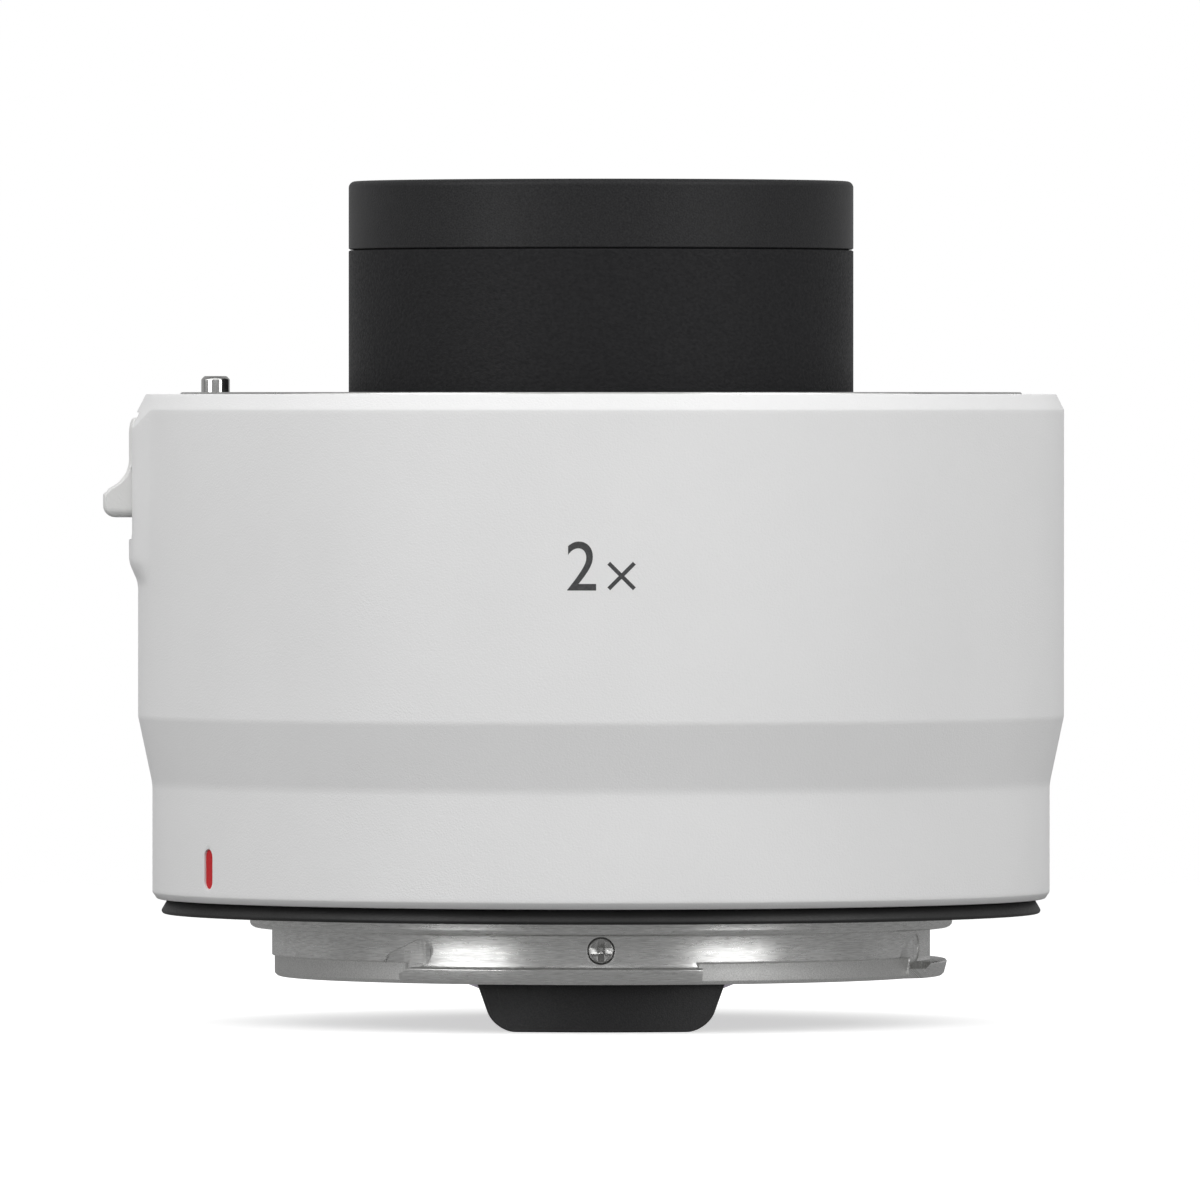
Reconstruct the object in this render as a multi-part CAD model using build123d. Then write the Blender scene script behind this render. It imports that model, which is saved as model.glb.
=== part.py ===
from build123d import *
import math
import os

# All lengths are in millimetres and all angles in degrees.
# +Z points from the camera to the lens, and the origin is where the optical axis meets the
# camera-side flange. Angles are counted from the near side, -Y, towards +X.

# Sizes of the whole unit, from which the radii and heights below follow outwards and inwards
mount_distance = 39.3
spigot_radius = 27.0

# Clearances
cut_overrun = 1.0
seat_gap = 0.05
running_gap = 0.05
slide_gap = 0.1
free_gap = 0.3
cement_gap = 0.02

# Male bayonet on the camera side, heights counted down from the flange
spigot_height = 1.5
spigot_chamfer = 0.4
neck_inset = 1.7
neck_radius = spigot_radius - neck_inset
neck_step = 0.2
neck_height = 2.0
neck_low_drop = spigot_height + spigot_chamfer + neck_height
neck_wall = 1.7
camera_bore_radius = neck_radius - neck_wall
bayonet_edge = 0.3
camera_flange_thickness = 1.8
lug_inset = 0.4
lug_radius = spigot_radius - lug_inset
lug_taper = 0.2
lug_gap = 0.3
lug_drop = neck_low_drop + lug_gap
lug_height = 1.35
bayonet_reach = lug_drop + lug_height
lug_edge = 0.25
lug_lead_drop = 0.4
lug_lead_angle = 3.0
lug_spans = ((-35.3, 16.9), (69.5, 130.0), (-170.0, -112.0))
relief_radius = 1.0
relief_depth = 0.25
pin_circle_offset = 2.64
pin_circle_radius = spigot_radius + pin_circle_offset
lock_angle = -90.0
camera_pin_hole_radius = 1.2

# Screws that hold the camera-side mount
camera_screw_offset = 2.7
camera_screw_circle = spigot_radius + camera_screw_offset
camera_screw_angles = (45.0, 135.0, -135.0, -45.0)
camera_screw_head_radius = 1.5
camera_screw_head_height = 0.8
camera_screw_shank_radius = 0.7
camera_screw_grip = 1.8
camera_screw_reach = camera_flange_thickness + camera_screw_grip

# Radial screws through the neck into the rear baffle
side_screw_drop = neck_low_drop - neck_height / 2
side_screw_angles = (0.0, 165.0, 195.0)
side_screw_head_radius = 0.95
side_screw_head_gap = 0.09
side_screw_head_height = 0.7
side_screw_shank_radius = 0.6
side_screw_thread_reach = 1.3

# Rear baffle with its guard tab
baffle_thickness = 1.0
baffle_wall_thickness = 1.5
baffle_drop = 4.4
baffle_wall_rise = 3.2
tab_inset = 0.6
tab_outer_radius = camera_bore_radius - tab_inset
tab_thickness = 1.7
tab_reach = 4.79
tab_drop = baffle_drop + tab_reach
tab_foot_half_width = 8.07
tab_root_half_width = 9.81
tab_corner_radius = 1.6

# Rear contact block and its pads
block_inset = 0.4
block_outer_radius = camera_bore_radius - block_inset
block_thickness = 3.6
block_inner_radius = block_outer_radius - block_thickness
block_root_half_width = 9.0
block_foot_half_width = 8.4
block_corner_radius = 0.9
contact_count = 12
contact_pitch_angle = 3.4
contact_inset = 2.3
contact_circle_radius = camera_bore_radius - contact_inset
pad_width = 0.85
pad_length = 2.0
pad_thickness = 0.4
pad_recess = 0.12

# Female bayonet on the lens side, heights counted down from the lens flange
lens_flange = mount_distance
lens_flange_width = 5.35
lens_ring_radius = spigot_radius + lens_flange_width
lens_flange_thickness = 2.2
ring_seat = lens_flange - lens_flange_thickness
lens_ring_edge = 0.1
throat_gap = 0.05
throat_radius = spigot_radius + throat_gap
skirt_wall = 1.15
skirt_radius = throat_radius + skirt_wall
skirt_height = 3.7
skirt_low = ring_seat - skirt_height
tab_ring_reach = 1.5
tab_ring_radius = spigot_radius - tab_ring_reach
tab_ring_top_drop = 2.0
tab_ring_top = lens_flange - tab_ring_top_drop
tab_ring_height = 2.05
tab_ring_low = tab_ring_top - tab_ring_height
tab_ring_edge = 0.25
tab_ring_spans = ((-33.0, 15.0), (79.0, 127.0), (-167.0, -114.0))
leaf_thickness = 0.2
leaf_width = 1.1
leaf_end_angle = 4.0
stop_angle = -38.2
stop_rise = 1.0
stop_radius = 0.6
stop_head_radius = 1.0
stop_head_height = 0.6
stop_reach = 1.1
stop_reach_radius = spigot_radius - stop_reach

# Outer barrel, with the pad that carries the release lever
barrel_rim_width = 3.25
barrel_radius = lens_ring_radius + barrel_rim_width
barrel_taper_depth = 1.1
barrel_low_radius = barrel_radius - barrel_taper_depth
barrel_foot = 0.4
barrel_foot_chamfer = 0.5
barrel_foot_chamfer_width = 0.35
barrel_taper_low = 9.3
barrel_taper_height = 5.1
barrel_taper_high = barrel_taper_low + barrel_taper_height
barrel_taper_round = 3.5
barrel_top_drop = 0.15
barrel_top = lens_flange - barrel_top_drop
barrel_top_chamfer = 1.2
barrel_top_chamfer_width = 0.6
barrel_wall = 1.6
barrel_bore = barrel_radius - barrel_wall
barrel_low_wall = 1.4
barrel_low_bore = barrel_low_radius - barrel_low_wall
barrel_lip_thickness = 2.25
lip_low = barrel_top - barrel_lip_thickness
boss_rise = 0.69
boss_radius = barrel_radius + boss_rise
boss_half_angle = 8.6
boss_fade_half_angle = 15.6
pocket_half_width = 4.96
pocket_top_drop = 1.4
pocket_high = barrel_top - pocket_top_drop
pocket_height = 9.75
pocket_low = pocket_high - pocket_height
pocket_depth = 1.09
pocket_floor_radius = boss_radius - pocket_depth
boss_face_drop = 1.4
boss_face_low = pocket_low - boss_face_drop
boss_slope_height = 2.3
boss_foot = boss_face_low - boss_slope_height

# Rubber seal round the camera-side flange, which ends at the seal
seal_foot_drop = 0.25
seal_foot_width = 0.6
seal_foot_outer = barrel_low_bore - seat_gap
seal_foot_inner = seal_foot_outer - seal_foot_width
camera_flange_radius = seal_foot_inner - seat_gap
seal_lip_drop = 0.75
seal_lip_inset = 0.7
seal_lip_radius = barrel_low_radius - seal_lip_inset
seal_lip_round = 0.15
seal_throat_inset = 0.4
seal_throat_radius = seal_lip_radius - seal_throat_inset
seal_throat_rise = 0.25

# Red index marks
mark_width = 1.2
camera_mark_angle = -60.0
camera_mark_low = 1.52
camera_mark_length = 3.0
lens_mark_length = 1.7
mark_recess = 0.15
mark_thickness = 0.3

# Throat, with a floor that leaves room for a lens's own guard tab, and its black liner
throat_floor_gap = 1.31
liner_top = lens_flange - tab_drop - throat_floor_gap
liner_wall = 0.8
nose_foot_top = liner_top - liner_wall
liner_inset = 0.3
liner_radius = skirt_radius - liner_inset
liner_foot_width = 1.4

# Nose barrel and its front ring
nose_gap = 1.9
nose_radius = contact_circle_radius - nose_gap
nose_reach = 16.2
nose_top = lens_flange + nose_reach
nose_wall = 1.6
nose_bore = nose_radius - nose_wall
nose_foot_width = 3.2
nose_foot_radius = nose_radius + nose_foot_width
nose_foot_thickness = 1.0
deck_top = nose_foot_top - nose_foot_thickness
nose_seat_height = 2.0
nose_seat_top = deck_top + nose_seat_height
front_ring_height = 5.3
nose_shoulder = nose_top - front_ring_height
nose_thread_height = 2.3
nose_thread_step = 0.7
groove_depth = 0.12
groove_height = 0.15
nose_round = 0.5
front_lip_height = 0.6
front_bevel_drop = 0.35
nose_screw_offset = 1.6
nose_screw_circle = nose_radius + nose_screw_offset
nose_screw_angles = (60.0, -60.0, -135.0)

# Inner frame that carries both mounts and the optics
frame_flange_top = 4.0
frame_flange_inset = 1.0
frame_flange_bore = camera_bore_radius + frame_flange_inset
frame_tube_inset = 1.9
frame_tube_radius = barrel_low_bore - frame_tube_inset
frame_tube_wall = 1.6
frame_tube_bore = frame_tube_radius - frame_tube_wall
deck_thickness = 1.5
deck_low = deck_top - deck_thickness
deck_bore_inset = 4.9
deck_bore_radius = nose_radius - deck_bore_inset
frame_upper_step = 0.25
frame_upper_radius = lens_ring_radius + frame_upper_step
frame_upper_wall = 1.6
frame_upper_bore = frame_upper_radius - frame_upper_wall
frame_rim_height = 1.5
frame_boss_radius = 1.55
lens_screw_inset = 1.1
lens_screw_circle = frame_upper_bore - lens_screw_inset
lens_screw_angles = (45.0, 135.0, -135.0, -45.0)
lens_screw_head_radius = 1.5
lens_screw_head_height = 0.9
lens_screw_shank_radius = 0.8
lens_screw_grip = 4.0
lens_screw_reach = lens_flange_thickness + lens_screw_grip

# Small screws inside
small_head_radius = 1.0
small_head_height = 0.6
small_shank_radius = 0.5
small_screw_reach = 1.3

# Circuit board on its standoffs, chips and flexible strips
board_outer_inset = 0.8
board_outer_radius = frame_tube_bore - board_outer_inset
board_width = 10.8
board_inner_radius = board_outer_radius - board_width
board_thickness = 1.2
standoff_radius = 1.3
standoff_height = 3.5
standoff_inset = 2.2
standoff_circle = board_outer_radius - standoff_inset
standoff_angles = (30.0, 150.0, -90.0)
board_top = deck_low - standoff_height
board_low = board_top - board_thickness
chip_inset = 5.6
chip_circle = board_outer_radius - chip_inset
chip_angles = (0.0, 65.0, -62.0, 115.0)
chip_size = 5.0
chip_height = 0.9
strip_thickness = 0.2
strip_slot_gap = 0.3
rear_strip_width = 10.0
rear_strip_inset = 0.75
rear_strip_distance = contact_circle_radius - rear_strip_inset
front_strip_width = 7.0
front_strip_offset = 3.0
front_strip_distance = contact_circle_radius + front_strip_offset

# Cells, seats and rings that hold the glass
seat_width = 1.2
seat_thickness = 1.2
retainer_height = 1.0
retainer_slot_width = 1.0
retainer_slot_depth = 0.5
front_cell_wall = 2.35
front_cell_step = 1.0
middle_cell_gap = 0.8
middle_cell_radius = deck_bore_radius - middle_cell_gap
middle_cell_wall = 2.1
front_cell_low_gap = 1.1
front_cell_low_bore = middle_cell_radius + front_cell_low_gap
middle_cell_flange_inset = 2.6
middle_cell_flange_radius = standoff_circle - middle_cell_flange_inset
middle_cell_flange_thickness = 1.5
middle_screw_inset = 2.4
middle_screw_circle = middle_cell_flange_radius - middle_screw_inset
middle_screw_angles = (0.0, 120.0, -120.0)
rear_cell_wall = 1.95
rear_cell_flange_thickness = 1.2
rear_screw_offset = 2.4
rear_screw_circle = frame_flange_bore + rear_screw_offset
rear_screw_angles = (75.0, 0.0, -75.0)

# Lens groups, each from its front vertex down: thicknesses and bulges are shares of its length
front_glass_rise = 0.1
front_single_radius = nose_bore - seat_gap - front_cell_wall
front_single_top = nose_shoulder + nose_thread_height + front_glass_rise
front_single_length = 3.6
front_single_thickness_shares = (1.0,)
front_single_bulge_shares = (0.43, 0.26)
front_group_gap = 2.6
front_double_radius = front_single_radius - front_cell_step
front_double_top = front_single_top - front_single_length - front_group_gap
front_double_length = 7.4
front_double_thickness_shares = (0.3, 0.7)
front_double_bulge_shares = (-0.12, 0.29, -0.29)
middle_glass_radius = middle_cell_radius - middle_cell_wall
middle_triple_rise = 7.0
middle_triple_top = deck_top + middle_triple_rise
middle_triple_length = 10.5
middle_triple_thickness_shares = (0.15, 0.60, 0.25)
middle_triple_bulge_shares = (-0.11, 0.22, -0.22, 0.055)
middle_group_gap = 6.0
middle_double_top = middle_triple_top - middle_triple_length - middle_group_gap
middle_double_length = 8.0
middle_double_thickness_shares = (0.65, 0.35)
middle_double_bulge_shares = (0.29, -0.22, 0.22)
rear_dome_inset = 8.6
rear_dome_radius = camera_bore_radius - rear_dome_inset
rear_dome_top = -0.8
rear_dome_length = 7.5
rear_dome_thickness_shares = (1.0,)
rear_dome_bulge_shares = (0.24, -0.635)
front_lip_inset = 0.5
front_lip_radius = front_single_radius - front_lip_inset

# Contact carrier in the throat, with its sprung pins
carrier_inner_inset = 1.0
carrier_inner_radius = contact_circle_radius - carrier_inner_inset
carrier_outer_offset = 3.5
carrier_outer_radius = contact_circle_radius + carrier_outer_offset
carrier_half_angle = 23.5
carrier_foot_margin = 0.6
carrier_foot_angle = 3.0
contact_travel = 0.6
contact_tip_height = lens_flange - tab_drop + pad_recess + contact_travel
contact_proud = 1.23
carrier_top = contact_tip_height - contact_proud
contact_pin_radius = 0.35
contact_collar_radius = 0.45
contact_collar_height = 0.35
contact_tip_round = 0.2
contact_spring_length = 0.95
contact_spring_wall = 0.14

# Release lever and its slide
lever_side_gap = 0.21
lever_half_width = pocket_half_width - lever_side_gap
lever_top_gap = 0.4
lever_high = pocket_high - lever_top_gap
lever_travel = 1.5
lever_bottom_gap = 0.2
lever_low = pocket_low + lever_travel + lever_bottom_gap
lever_tip_reach = 1.99
lever_tip_radius = boss_radius + lever_tip_reach
lever_tip_low_round = 0.9
lever_tip_height = 1.9
lever_tip_high = lever_low + lever_tip_height
lever_ramp_height = 2.4
lever_ramp_mid_share = 1 / 3
lever_ramp_mid_reach_share = 0.397
lever_round_drop = 1.15
lever_round_depth = 0.3
stem_width = 2.0
stem_low_inset = 1.7
stem_low = lever_low + stem_low_inset
stem_high_inset = 1.65
stem_high = lever_high - stem_high_inset
slide_thickness = 1.0
slide_half_width = 4.4
slide_low_margin = 2.2
slide_low = stem_low - slide_low_margin
slide_high_margin = 0.7
slide_high = stem_high + slide_high_margin
frame_window_margin = 1.2
lever_screw_inset = 0.75
lever_screw_head_radius = 0.7
lever_screw_head_height = 0.5
lever_screw_shank_radius = 0.4
lever_screw_reach = 1.6

# Lock pin, which a forked bracket of the slide pushes down against its spring
bracket_thickness = 0.9
bracket_half_width = 2.6
bracket_rise = 1.8
bracket_low = stem_low + bracket_rise
bracket_reach = 1.14
bracket_inner_radius = pin_circle_radius - bracket_reach
lock_pin_radius = 1.1
lock_pin_proud = 1.24
lock_pin_edge = 0.25
lock_collar_radius = 1.4
lock_collar_height = 1.0
lock_stem_radius = 0.8
lock_stem_drop = 1.0
lock_stem_low = deck_top - lock_stem_drop
spring_wire_radius = 0.2
spring_turns = 5


def turned(*outline):
    """Solid turned about the optical axis from (radius, height) corners."""
    return revolve(Plane.XZ * make_face(Polyline(*outline, close=True)), Axis.Z)


def turned_rounded(corner, radius, *outline):
    """Solid turned about the axis, with one corner of its outline rounded."""
    face = make_face(Polyline(*outline, close=True))
    nearest = face.vertices().sort_by_distance(corner)[0]
    return revolve(Plane.XZ * fillet(nearest, radius), Axis.Z)


def turned_arc(start, end, *outline):
    """The same, turned only from one angle to another."""
    face = Plane.XZ * make_face(Polyline(*outline, close=True))
    return Rot(0, 0, start - 90) * revolve(face, Axis.Z, revolution_arc=end - start)


def box_outline(inner, outer, low, high):
    """Corners of a rectangular ring section."""
    return (inner, low), (outer, low), (outer, high), (inner, high)


def tube(inner, outer, low, high):
    """Plain ring about the optical axis."""
    return turned(*box_outline(inner, outer, low, high))


def post(radius, low, high, distance, angle):
    """Round bar parallel to the axis, at a distance and an angle."""
    bar = Cylinder(radius, high - low, align=(Align.CENTER, Align.CENTER, Align.MIN))
    return Rot(0, 0, angle) * Pos(0, -distance, low) * bar


def radial_post(radius, inner, outer, height, angle):
    """Round bar that points out from the axis."""
    bar = Cylinder(radius, outer - inner, align=(Align.CENTER, Align.CENTER, Align.MIN))
    return Rot(0, 0, angle) * Pos(0, -inner, height) * Rot(90, 0, 0) * bar


def near_block(half_width, inner, outer, low, high):
    """Box on the near side, between two distances from the axis."""
    body = Box(2 * half_width, outer - inner, high - low, align=(Align.CENTER, Align.MAX, Align.MIN))
    return Pos(0, -inner, low) * body


def joined(shapes):
    """Several solids fused into one."""
    shapes = list(shapes)
    return shapes[0].fuse(*shapes[1:]) if len(shapes) > 1 else shapes[0]


def group(shapes):
    """Several separate solids in one node."""
    return Compound(children=[solid for shape in shapes for solid in shape.solids()])


def flat_screw(head_radius, head_height, shank_radius, reach):
    """Countersunk screw whose head is at zero and whose thread points up."""
    return turned((0, 0), (head_radius, 0), (shank_radius, head_height), (shank_radius, reach), (0, reach))


def flat_screw_hole(head_radius, head_height, shank_radius, reach):
    """Room for that screw, open below the head."""
    return turned(
        (0, -cut_overrun),
        (head_radius + seat_gap, -cut_overrun),
        (head_radius + seat_gap, 0),
        (shank_radius + seat_gap, head_height + seat_gap),
        (shank_radius + seat_gap, reach + seat_gap),
        (0, reach + seat_gap),
    )


def pan_screw(head_radius, head_height, shank_radius, reach):
    """Screw with a plain round head below zero and its thread pointing up."""
    return turned(
        (0, -head_height), (head_radius, -head_height), (head_radius, 0),
        (shank_radius, 0), (shank_radius, reach), (0, reach),
    )


def around(shape, distance, height, angles, upside_down=False):
    """Copies of a shape on a circle about the axis."""
    flip = Rot(180, 0, 0) if upside_down else Rot(0, 0, 0)
    return [Rot(0, 0, angle) * Pos(0, -distance, height) * flip * shape for angle in angles]


def camera_screw_sizes():
    return camera_screw_head_radius, camera_screw_head_height, camera_screw_shank_radius, camera_screw_reach


def lens_screw_sizes():
    return lens_screw_head_radius, lens_screw_head_height, lens_screw_shank_radius, lens_screw_reach


def lug(start, end):
    """One bayonet lug, with a slight taper and a ramp where it leads into its slot."""
    top = -lug_drop
    low = -bayonet_reach
    root = neck_radius - neck_step - bayonet_edge
    body = turned_arc(
        start, end,
        (root, low), (lug_radius - lug_taper - lug_edge, low), (lug_radius - lug_taper, low + lug_edge),
        (lug_radius, top), (root, top),
    )
    lead = turned_arc(
        start - lug_lead_angle, start + lug_lead_angle,
        *box_outline(neck_radius, lug_radius + cut_overrun, top - lug_lead_drop, top + cut_overrun),
    )
    return body - lead


def neck_relief(start):
    """Shallow round-ended cut in the neck beside a lug's leading end."""
    height = -lug_drop + relief_radius - lug_lead_drop
    angle = start + lug_lead_angle / 2
    return radial_post(relief_radius, neck_radius - relief_depth, neck_radius + cut_overrun, height, angle)


def camera_mount_ring():
    """Male bayonet: flange, spigot, neck and three lugs."""
    neck_low = -neck_low_drop
    band_radius = neck_radius - neck_step
    ring = turned(
        (camera_bore_radius, -bayonet_reach),
        (band_radius - bayonet_edge, -bayonet_reach),
        (band_radius, -bayonet_reach + bayonet_edge),
        (band_radius, neck_low - neck_step),
        (neck_radius, neck_low),
        (neck_radius, -spigot_height - spigot_chamfer),
        (spigot_radius - spigot_chamfer, -spigot_height - spigot_chamfer),
        (spigot_radius, -spigot_height),
        (spigot_radius, 0),
        (camera_flange_radius, 0),
        (camera_flange_radius, camera_flange_thickness),
        (camera_bore_radius, camera_flange_thickness),
    )
    ring = joined([ring] + [lug(*span) for span in lug_spans])
    screw_room = flat_screw_hole(*camera_screw_sizes())
    cuts = around(screw_room, camera_screw_circle, 0, camera_screw_angles)
    cuts += [neck_relief(span[0]) for span in lug_spans]
    cuts += side_screw_room()
    cuts.append(post(camera_pin_hole_radius, -cut_overrun, camera_flange_thickness + cut_overrun,
                     pin_circle_radius, lock_angle))
    return ring - cuts


def side_screw_room():
    """Stepped radial holes through the neck for the baffle's screws."""
    head_bottom = neck_radius - side_screw_head_height
    room = []
    for angle in side_screw_angles:
        room.append(radial_post(side_screw_head_radius + side_screw_head_gap, head_bottom,
                                spigot_radius + cut_overrun, -side_screw_drop, angle))
        room.append(radial_post(side_screw_shank_radius + seat_gap, camera_bore_radius - cut_overrun,
                                head_bottom, -side_screw_drop, angle))
    return room


def side_screws():
    """Three small radial screws, their heads flush with the neck."""
    head_bottom = neck_radius - side_screw_head_height
    tip = camera_bore_radius - side_screw_thread_reach
    screws = []
    for angle in side_screw_angles:
        head = radial_post(side_screw_head_radius, head_bottom, neck_radius, -side_screw_drop, angle)
        shank = radial_post(side_screw_shank_radius, tip, head_bottom, -side_screw_drop, angle)
        screws.append(head + shank)
    return group(screws)


def camera_mount_screws():
    """Four countersunk screws, heads flush with the camera-side flange."""
    return group(around(flat_screw(*camera_screw_sizes()), camera_screw_circle, 0, camera_screw_angles))


def mount_seal():
    """Rubber ring whose lip flares out below the barrel's foot."""
    return turned(
        (seal_foot_inner, camera_flange_thickness),
        (seal_foot_inner, -seal_foot_drop),
        (seal_lip_radius - 2 * seal_lip_round, -seal_lip_drop),
        (seal_lip_radius - seal_lip_round / 2, -seal_lip_drop + seal_lip_round / 2),
        (seal_lip_radius, -seal_lip_drop + 2 * seal_lip_round),
        (seal_throat_radius, seal_throat_rise),
        (seal_foot_outer, seal_throat_rise + seat_gap),
        (seal_foot_outer, camera_flange_thickness),
    )


def tapered_plate(root_half_width, foot_half_width, corner_radius, inner, outer, root, foot):
    """Plate on the near side that narrows downwards and has rounded lower corners."""
    outline = Polyline(
        (-root_half_width, root), (root_half_width, root),
        (foot_half_width, foot), (-foot_half_width, foot), close=True,
    )
    face = make_face(outline)
    face = fillet(face.vertices().sort_by(Axis.Y)[:2], corner_radius)
    body = extrude(Plane.XZ * face, outer + cut_overrun)
    return body & tube(inner, outer, foot - cut_overrun, root)


def rear_baffle():
    """Black plate round the rear glass, with a wall that the side screws hold and the guard tab."""
    floor = -baffle_drop
    inner = rear_dome_radius + rear_cell_wall + 2 * seat_gap
    outer = camera_bore_radius - seat_gap * 2
    body = turned(
        (inner, floor), (outer, floor), (outer, floor + baffle_wall_rise),
        (outer - baffle_wall_thickness, floor + baffle_wall_rise),
        (outer - baffle_wall_thickness, floor + baffle_thickness),
        (inner, floor + baffle_thickness),
    )
    tab = tapered_plate(tab_root_half_width, tab_foot_half_width, tab_corner_radius,
                        tab_outer_radius - tab_thickness, tab_outer_radius, floor, -tab_drop)
    body = body + tab
    for angle in side_screw_angles:
        body -= radial_post(side_screw_shank_radius + seat_gap, camera_bore_radius - side_screw_thread_reach
                            - seat_gap, camera_bore_radius, -side_screw_drop, angle)
    return body - strip_room(rear_strip_width, rear_strip_distance, floor, floor + baffle_thickness)


def strip_room(width, distance, low, high):
    """Slot on the far side that a flexible strip passes through."""
    half = strip_thickness / 2 + strip_slot_gap
    slot = near_block(width / 2 + strip_slot_gap, distance - half, distance + half,
                      low - cut_overrun, high + cut_overrun)
    return Rot(0, 0, 180) * slot


def contact_angles():
    """Angles of the twelve contacts, centred on the far side."""
    first = 180 - contact_pitch_angle * (contact_count - 1) / 2
    return [first + contact_pitch_angle * i for i in range(contact_count)]


def pad(gap, low, high):
    """One contact pad's solid, or with a gap its pocket."""
    half = pad_length / 2
    return near_block(pad_width / 2 + gap, contact_circle_radius - half - gap,
                      contact_circle_radius + half + gap, low, high)


def rear_contact_block():
    """Black block on the far side whose foot carries the pads."""
    block = tapered_plate(block_root_half_width, block_foot_half_width, block_corner_radius,
                          block_inner_radius, block_outer_radius, -baffle_drop, -tab_drop)
    block = Rot(0, 0, 180) * block
    pocket = pad(seat_gap / 2, -tab_drop - cut_overrun, -tab_drop + pad_recess + pad_thickness)
    return block - [Rot(0, 0, angle) * pocket for angle in contact_angles()]


def rear_contact_pads():
    """Twelve gold-plated pads, a little recessed in the block."""
    low = -tab_drop + pad_recess
    return group(Rot(0, 0, angle) * pad(0, low, low + pad_thickness) for angle in contact_angles())


def barrel_shell():
    """The white barrel without its lever pad."""
    top_edge = barrel_top - barrel_top_chamfer
    return turned_rounded(
        (barrel_low_radius, barrel_taper_low), barrel_taper_round,
        (barrel_low_bore, barrel_foot),
        (barrel_low_radius - barrel_foot_chamfer_width, barrel_foot),
        (barrel_low_radius, barrel_foot + barrel_foot_chamfer),
        (barrel_low_radius, barrel_taper_low),
        (barrel_radius, barrel_taper_high),
        (barrel_radius, top_edge),
        (barrel_radius - barrel_top_chamfer_width, barrel_top),
        (lens_ring_radius + seat_gap, barrel_top),
        (lens_ring_radius + seat_gap, lip_low),
        (barrel_bore, lip_low),
        (barrel_bore, barrel_taper_high),
        (barrel_low_bore, barrel_taper_low),
    )


def lever_pad():
    """Raised pad round the lever: it fades into the barrel at both sides and below."""
    def on_circle(radius, angle):
        return radius * math.sin(math.radians(angle)), -radius * math.cos(math.radians(angle))

    inner = barrel_bore + barrel_wall / 2
    face_start = on_circle(boss_radius, -boss_half_angle)
    face_end = on_circle(boss_radius, boss_half_angle)
    fade_start = on_circle(barrel_radius, -boss_fade_half_angle)
    fade_end = on_circle(barrel_radius, boss_fade_half_angle)
    inner_start = on_circle(inner, -boss_fade_half_angle)
    inner_end = on_circle(inner, boss_fade_half_angle)
    side_tangent = on_circle(1, 90 - boss_fade_half_angle)
    face_tangent = on_circle(1, 90 - boss_half_angle)
    outline = [
        Spline(fade_start, face_start, tangents=(side_tangent, face_tangent)),
        ThreePointArc(face_start, on_circle(boss_radius, 0), face_end),
        Spline(face_end, fade_end, tangents=(on_circle(1, 90 + boss_half_angle),
                                            on_circle(1, 90 + boss_fade_half_angle))),
        Line(fade_end, inner_end),
        ThreePointArc(inner_end, on_circle(inner, 0), inner_start),
        Line(inner_start, fade_start),
    ]
    column = Pos(0, 0, boss_foot) * extrude(make_face(outline), barrel_top - boss_foot)
    slope = barrel_top_chamfer_width / barrel_top_chamfer
    cone_low = barrel_top - (boss_radius - barrel_radius + barrel_top_chamfer_width) / slope
    profile = [
        Line((0, boss_foot), (barrel_radius, boss_foot)),
        Spline((barrel_radius, boss_foot), (boss_radius, boss_face_low), tangents=((0, 1), (0, 1))),
        Line((boss_radius, boss_face_low), (boss_radius, cone_low)),
        Line((boss_radius, cone_low), (barrel_radius - barrel_top_chamfer_width, barrel_top)),
        Line((barrel_radius - barrel_top_chamfer_width, barrel_top), (0, barrel_top)),
        Line((0, barrel_top), (0, boss_foot)),
    ]
    limit = revolve(Plane.XZ * make_face(profile), Axis.Z)
    return column & limit


def lever_room():
    """Pocket for the lever, and the slot through the wall for its stem."""
    pocket = near_block(pocket_half_width, pocket_floor_radius - cut_overrun, boss_radius + cut_overrun,
                        pocket_low, pocket_high)
    pocket -= Cylinder(pocket_floor_radius, 2 * mount_distance)
    slot = near_block(stem_width / 2 + slide_gap, barrel_bore - cut_overrun, barrel_radius + cut_overrun,
                      stem_low - lever_travel - slide_gap, stem_high + slide_gap)
    return pocket, slot


def outer_barrel():
    """White painted barrel with its lever pad, pocket and index marks."""
    body = barrel_shell() + Rot(0, 0, lock_angle) * lever_pad()
    body -= [Rot(0, 0, lock_angle) * room for room in lever_room()]
    return body - [camera_mark(seat_gap / 2, cut_overrun), lens_mark(seat_gap / 2, cut_overrun)]


def capsule(width, length, thickness):
    """Flat bar with round ends, standing on the XY plane along Y."""
    return extrude(Rot(0, 0, 90) * SlotOverall(length, width), thickness)


def camera_mark(gap, proud):
    """Red mark near the barrel's foot, or with a gap and height its recess."""
    face_radius = barrel_low_radius - mark_recess
    bar = capsule(mark_width + 2 * gap, camera_mark_length + 2 * gap, mark_thickness + mark_recess + proud)
    middle = camera_mark_low + camera_mark_length / 2
    bar = Pos(0, -(face_radius - mark_thickness), middle) * Rot(90, 0, 0) * bar
    if not proud:
        bar &= Cylinder(face_radius, 2 * mount_distance)
    return Rot(0, 0, camera_mark_angle) * bar


def lens_mark(gap, proud):
    """Red mark on the barrel's front face, or with a gap and height its recess."""
    face = barrel_top - mark_recess
    bar = capsule(mark_width + 2 * gap, lens_mark_length + 2 * gap, mark_thickness + proud)
    middle = (lens_ring_radius + barrel_radius - barrel_top_chamfer_width) / 2
    return Pos(0, -middle, face - mark_thickness) * bar


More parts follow.
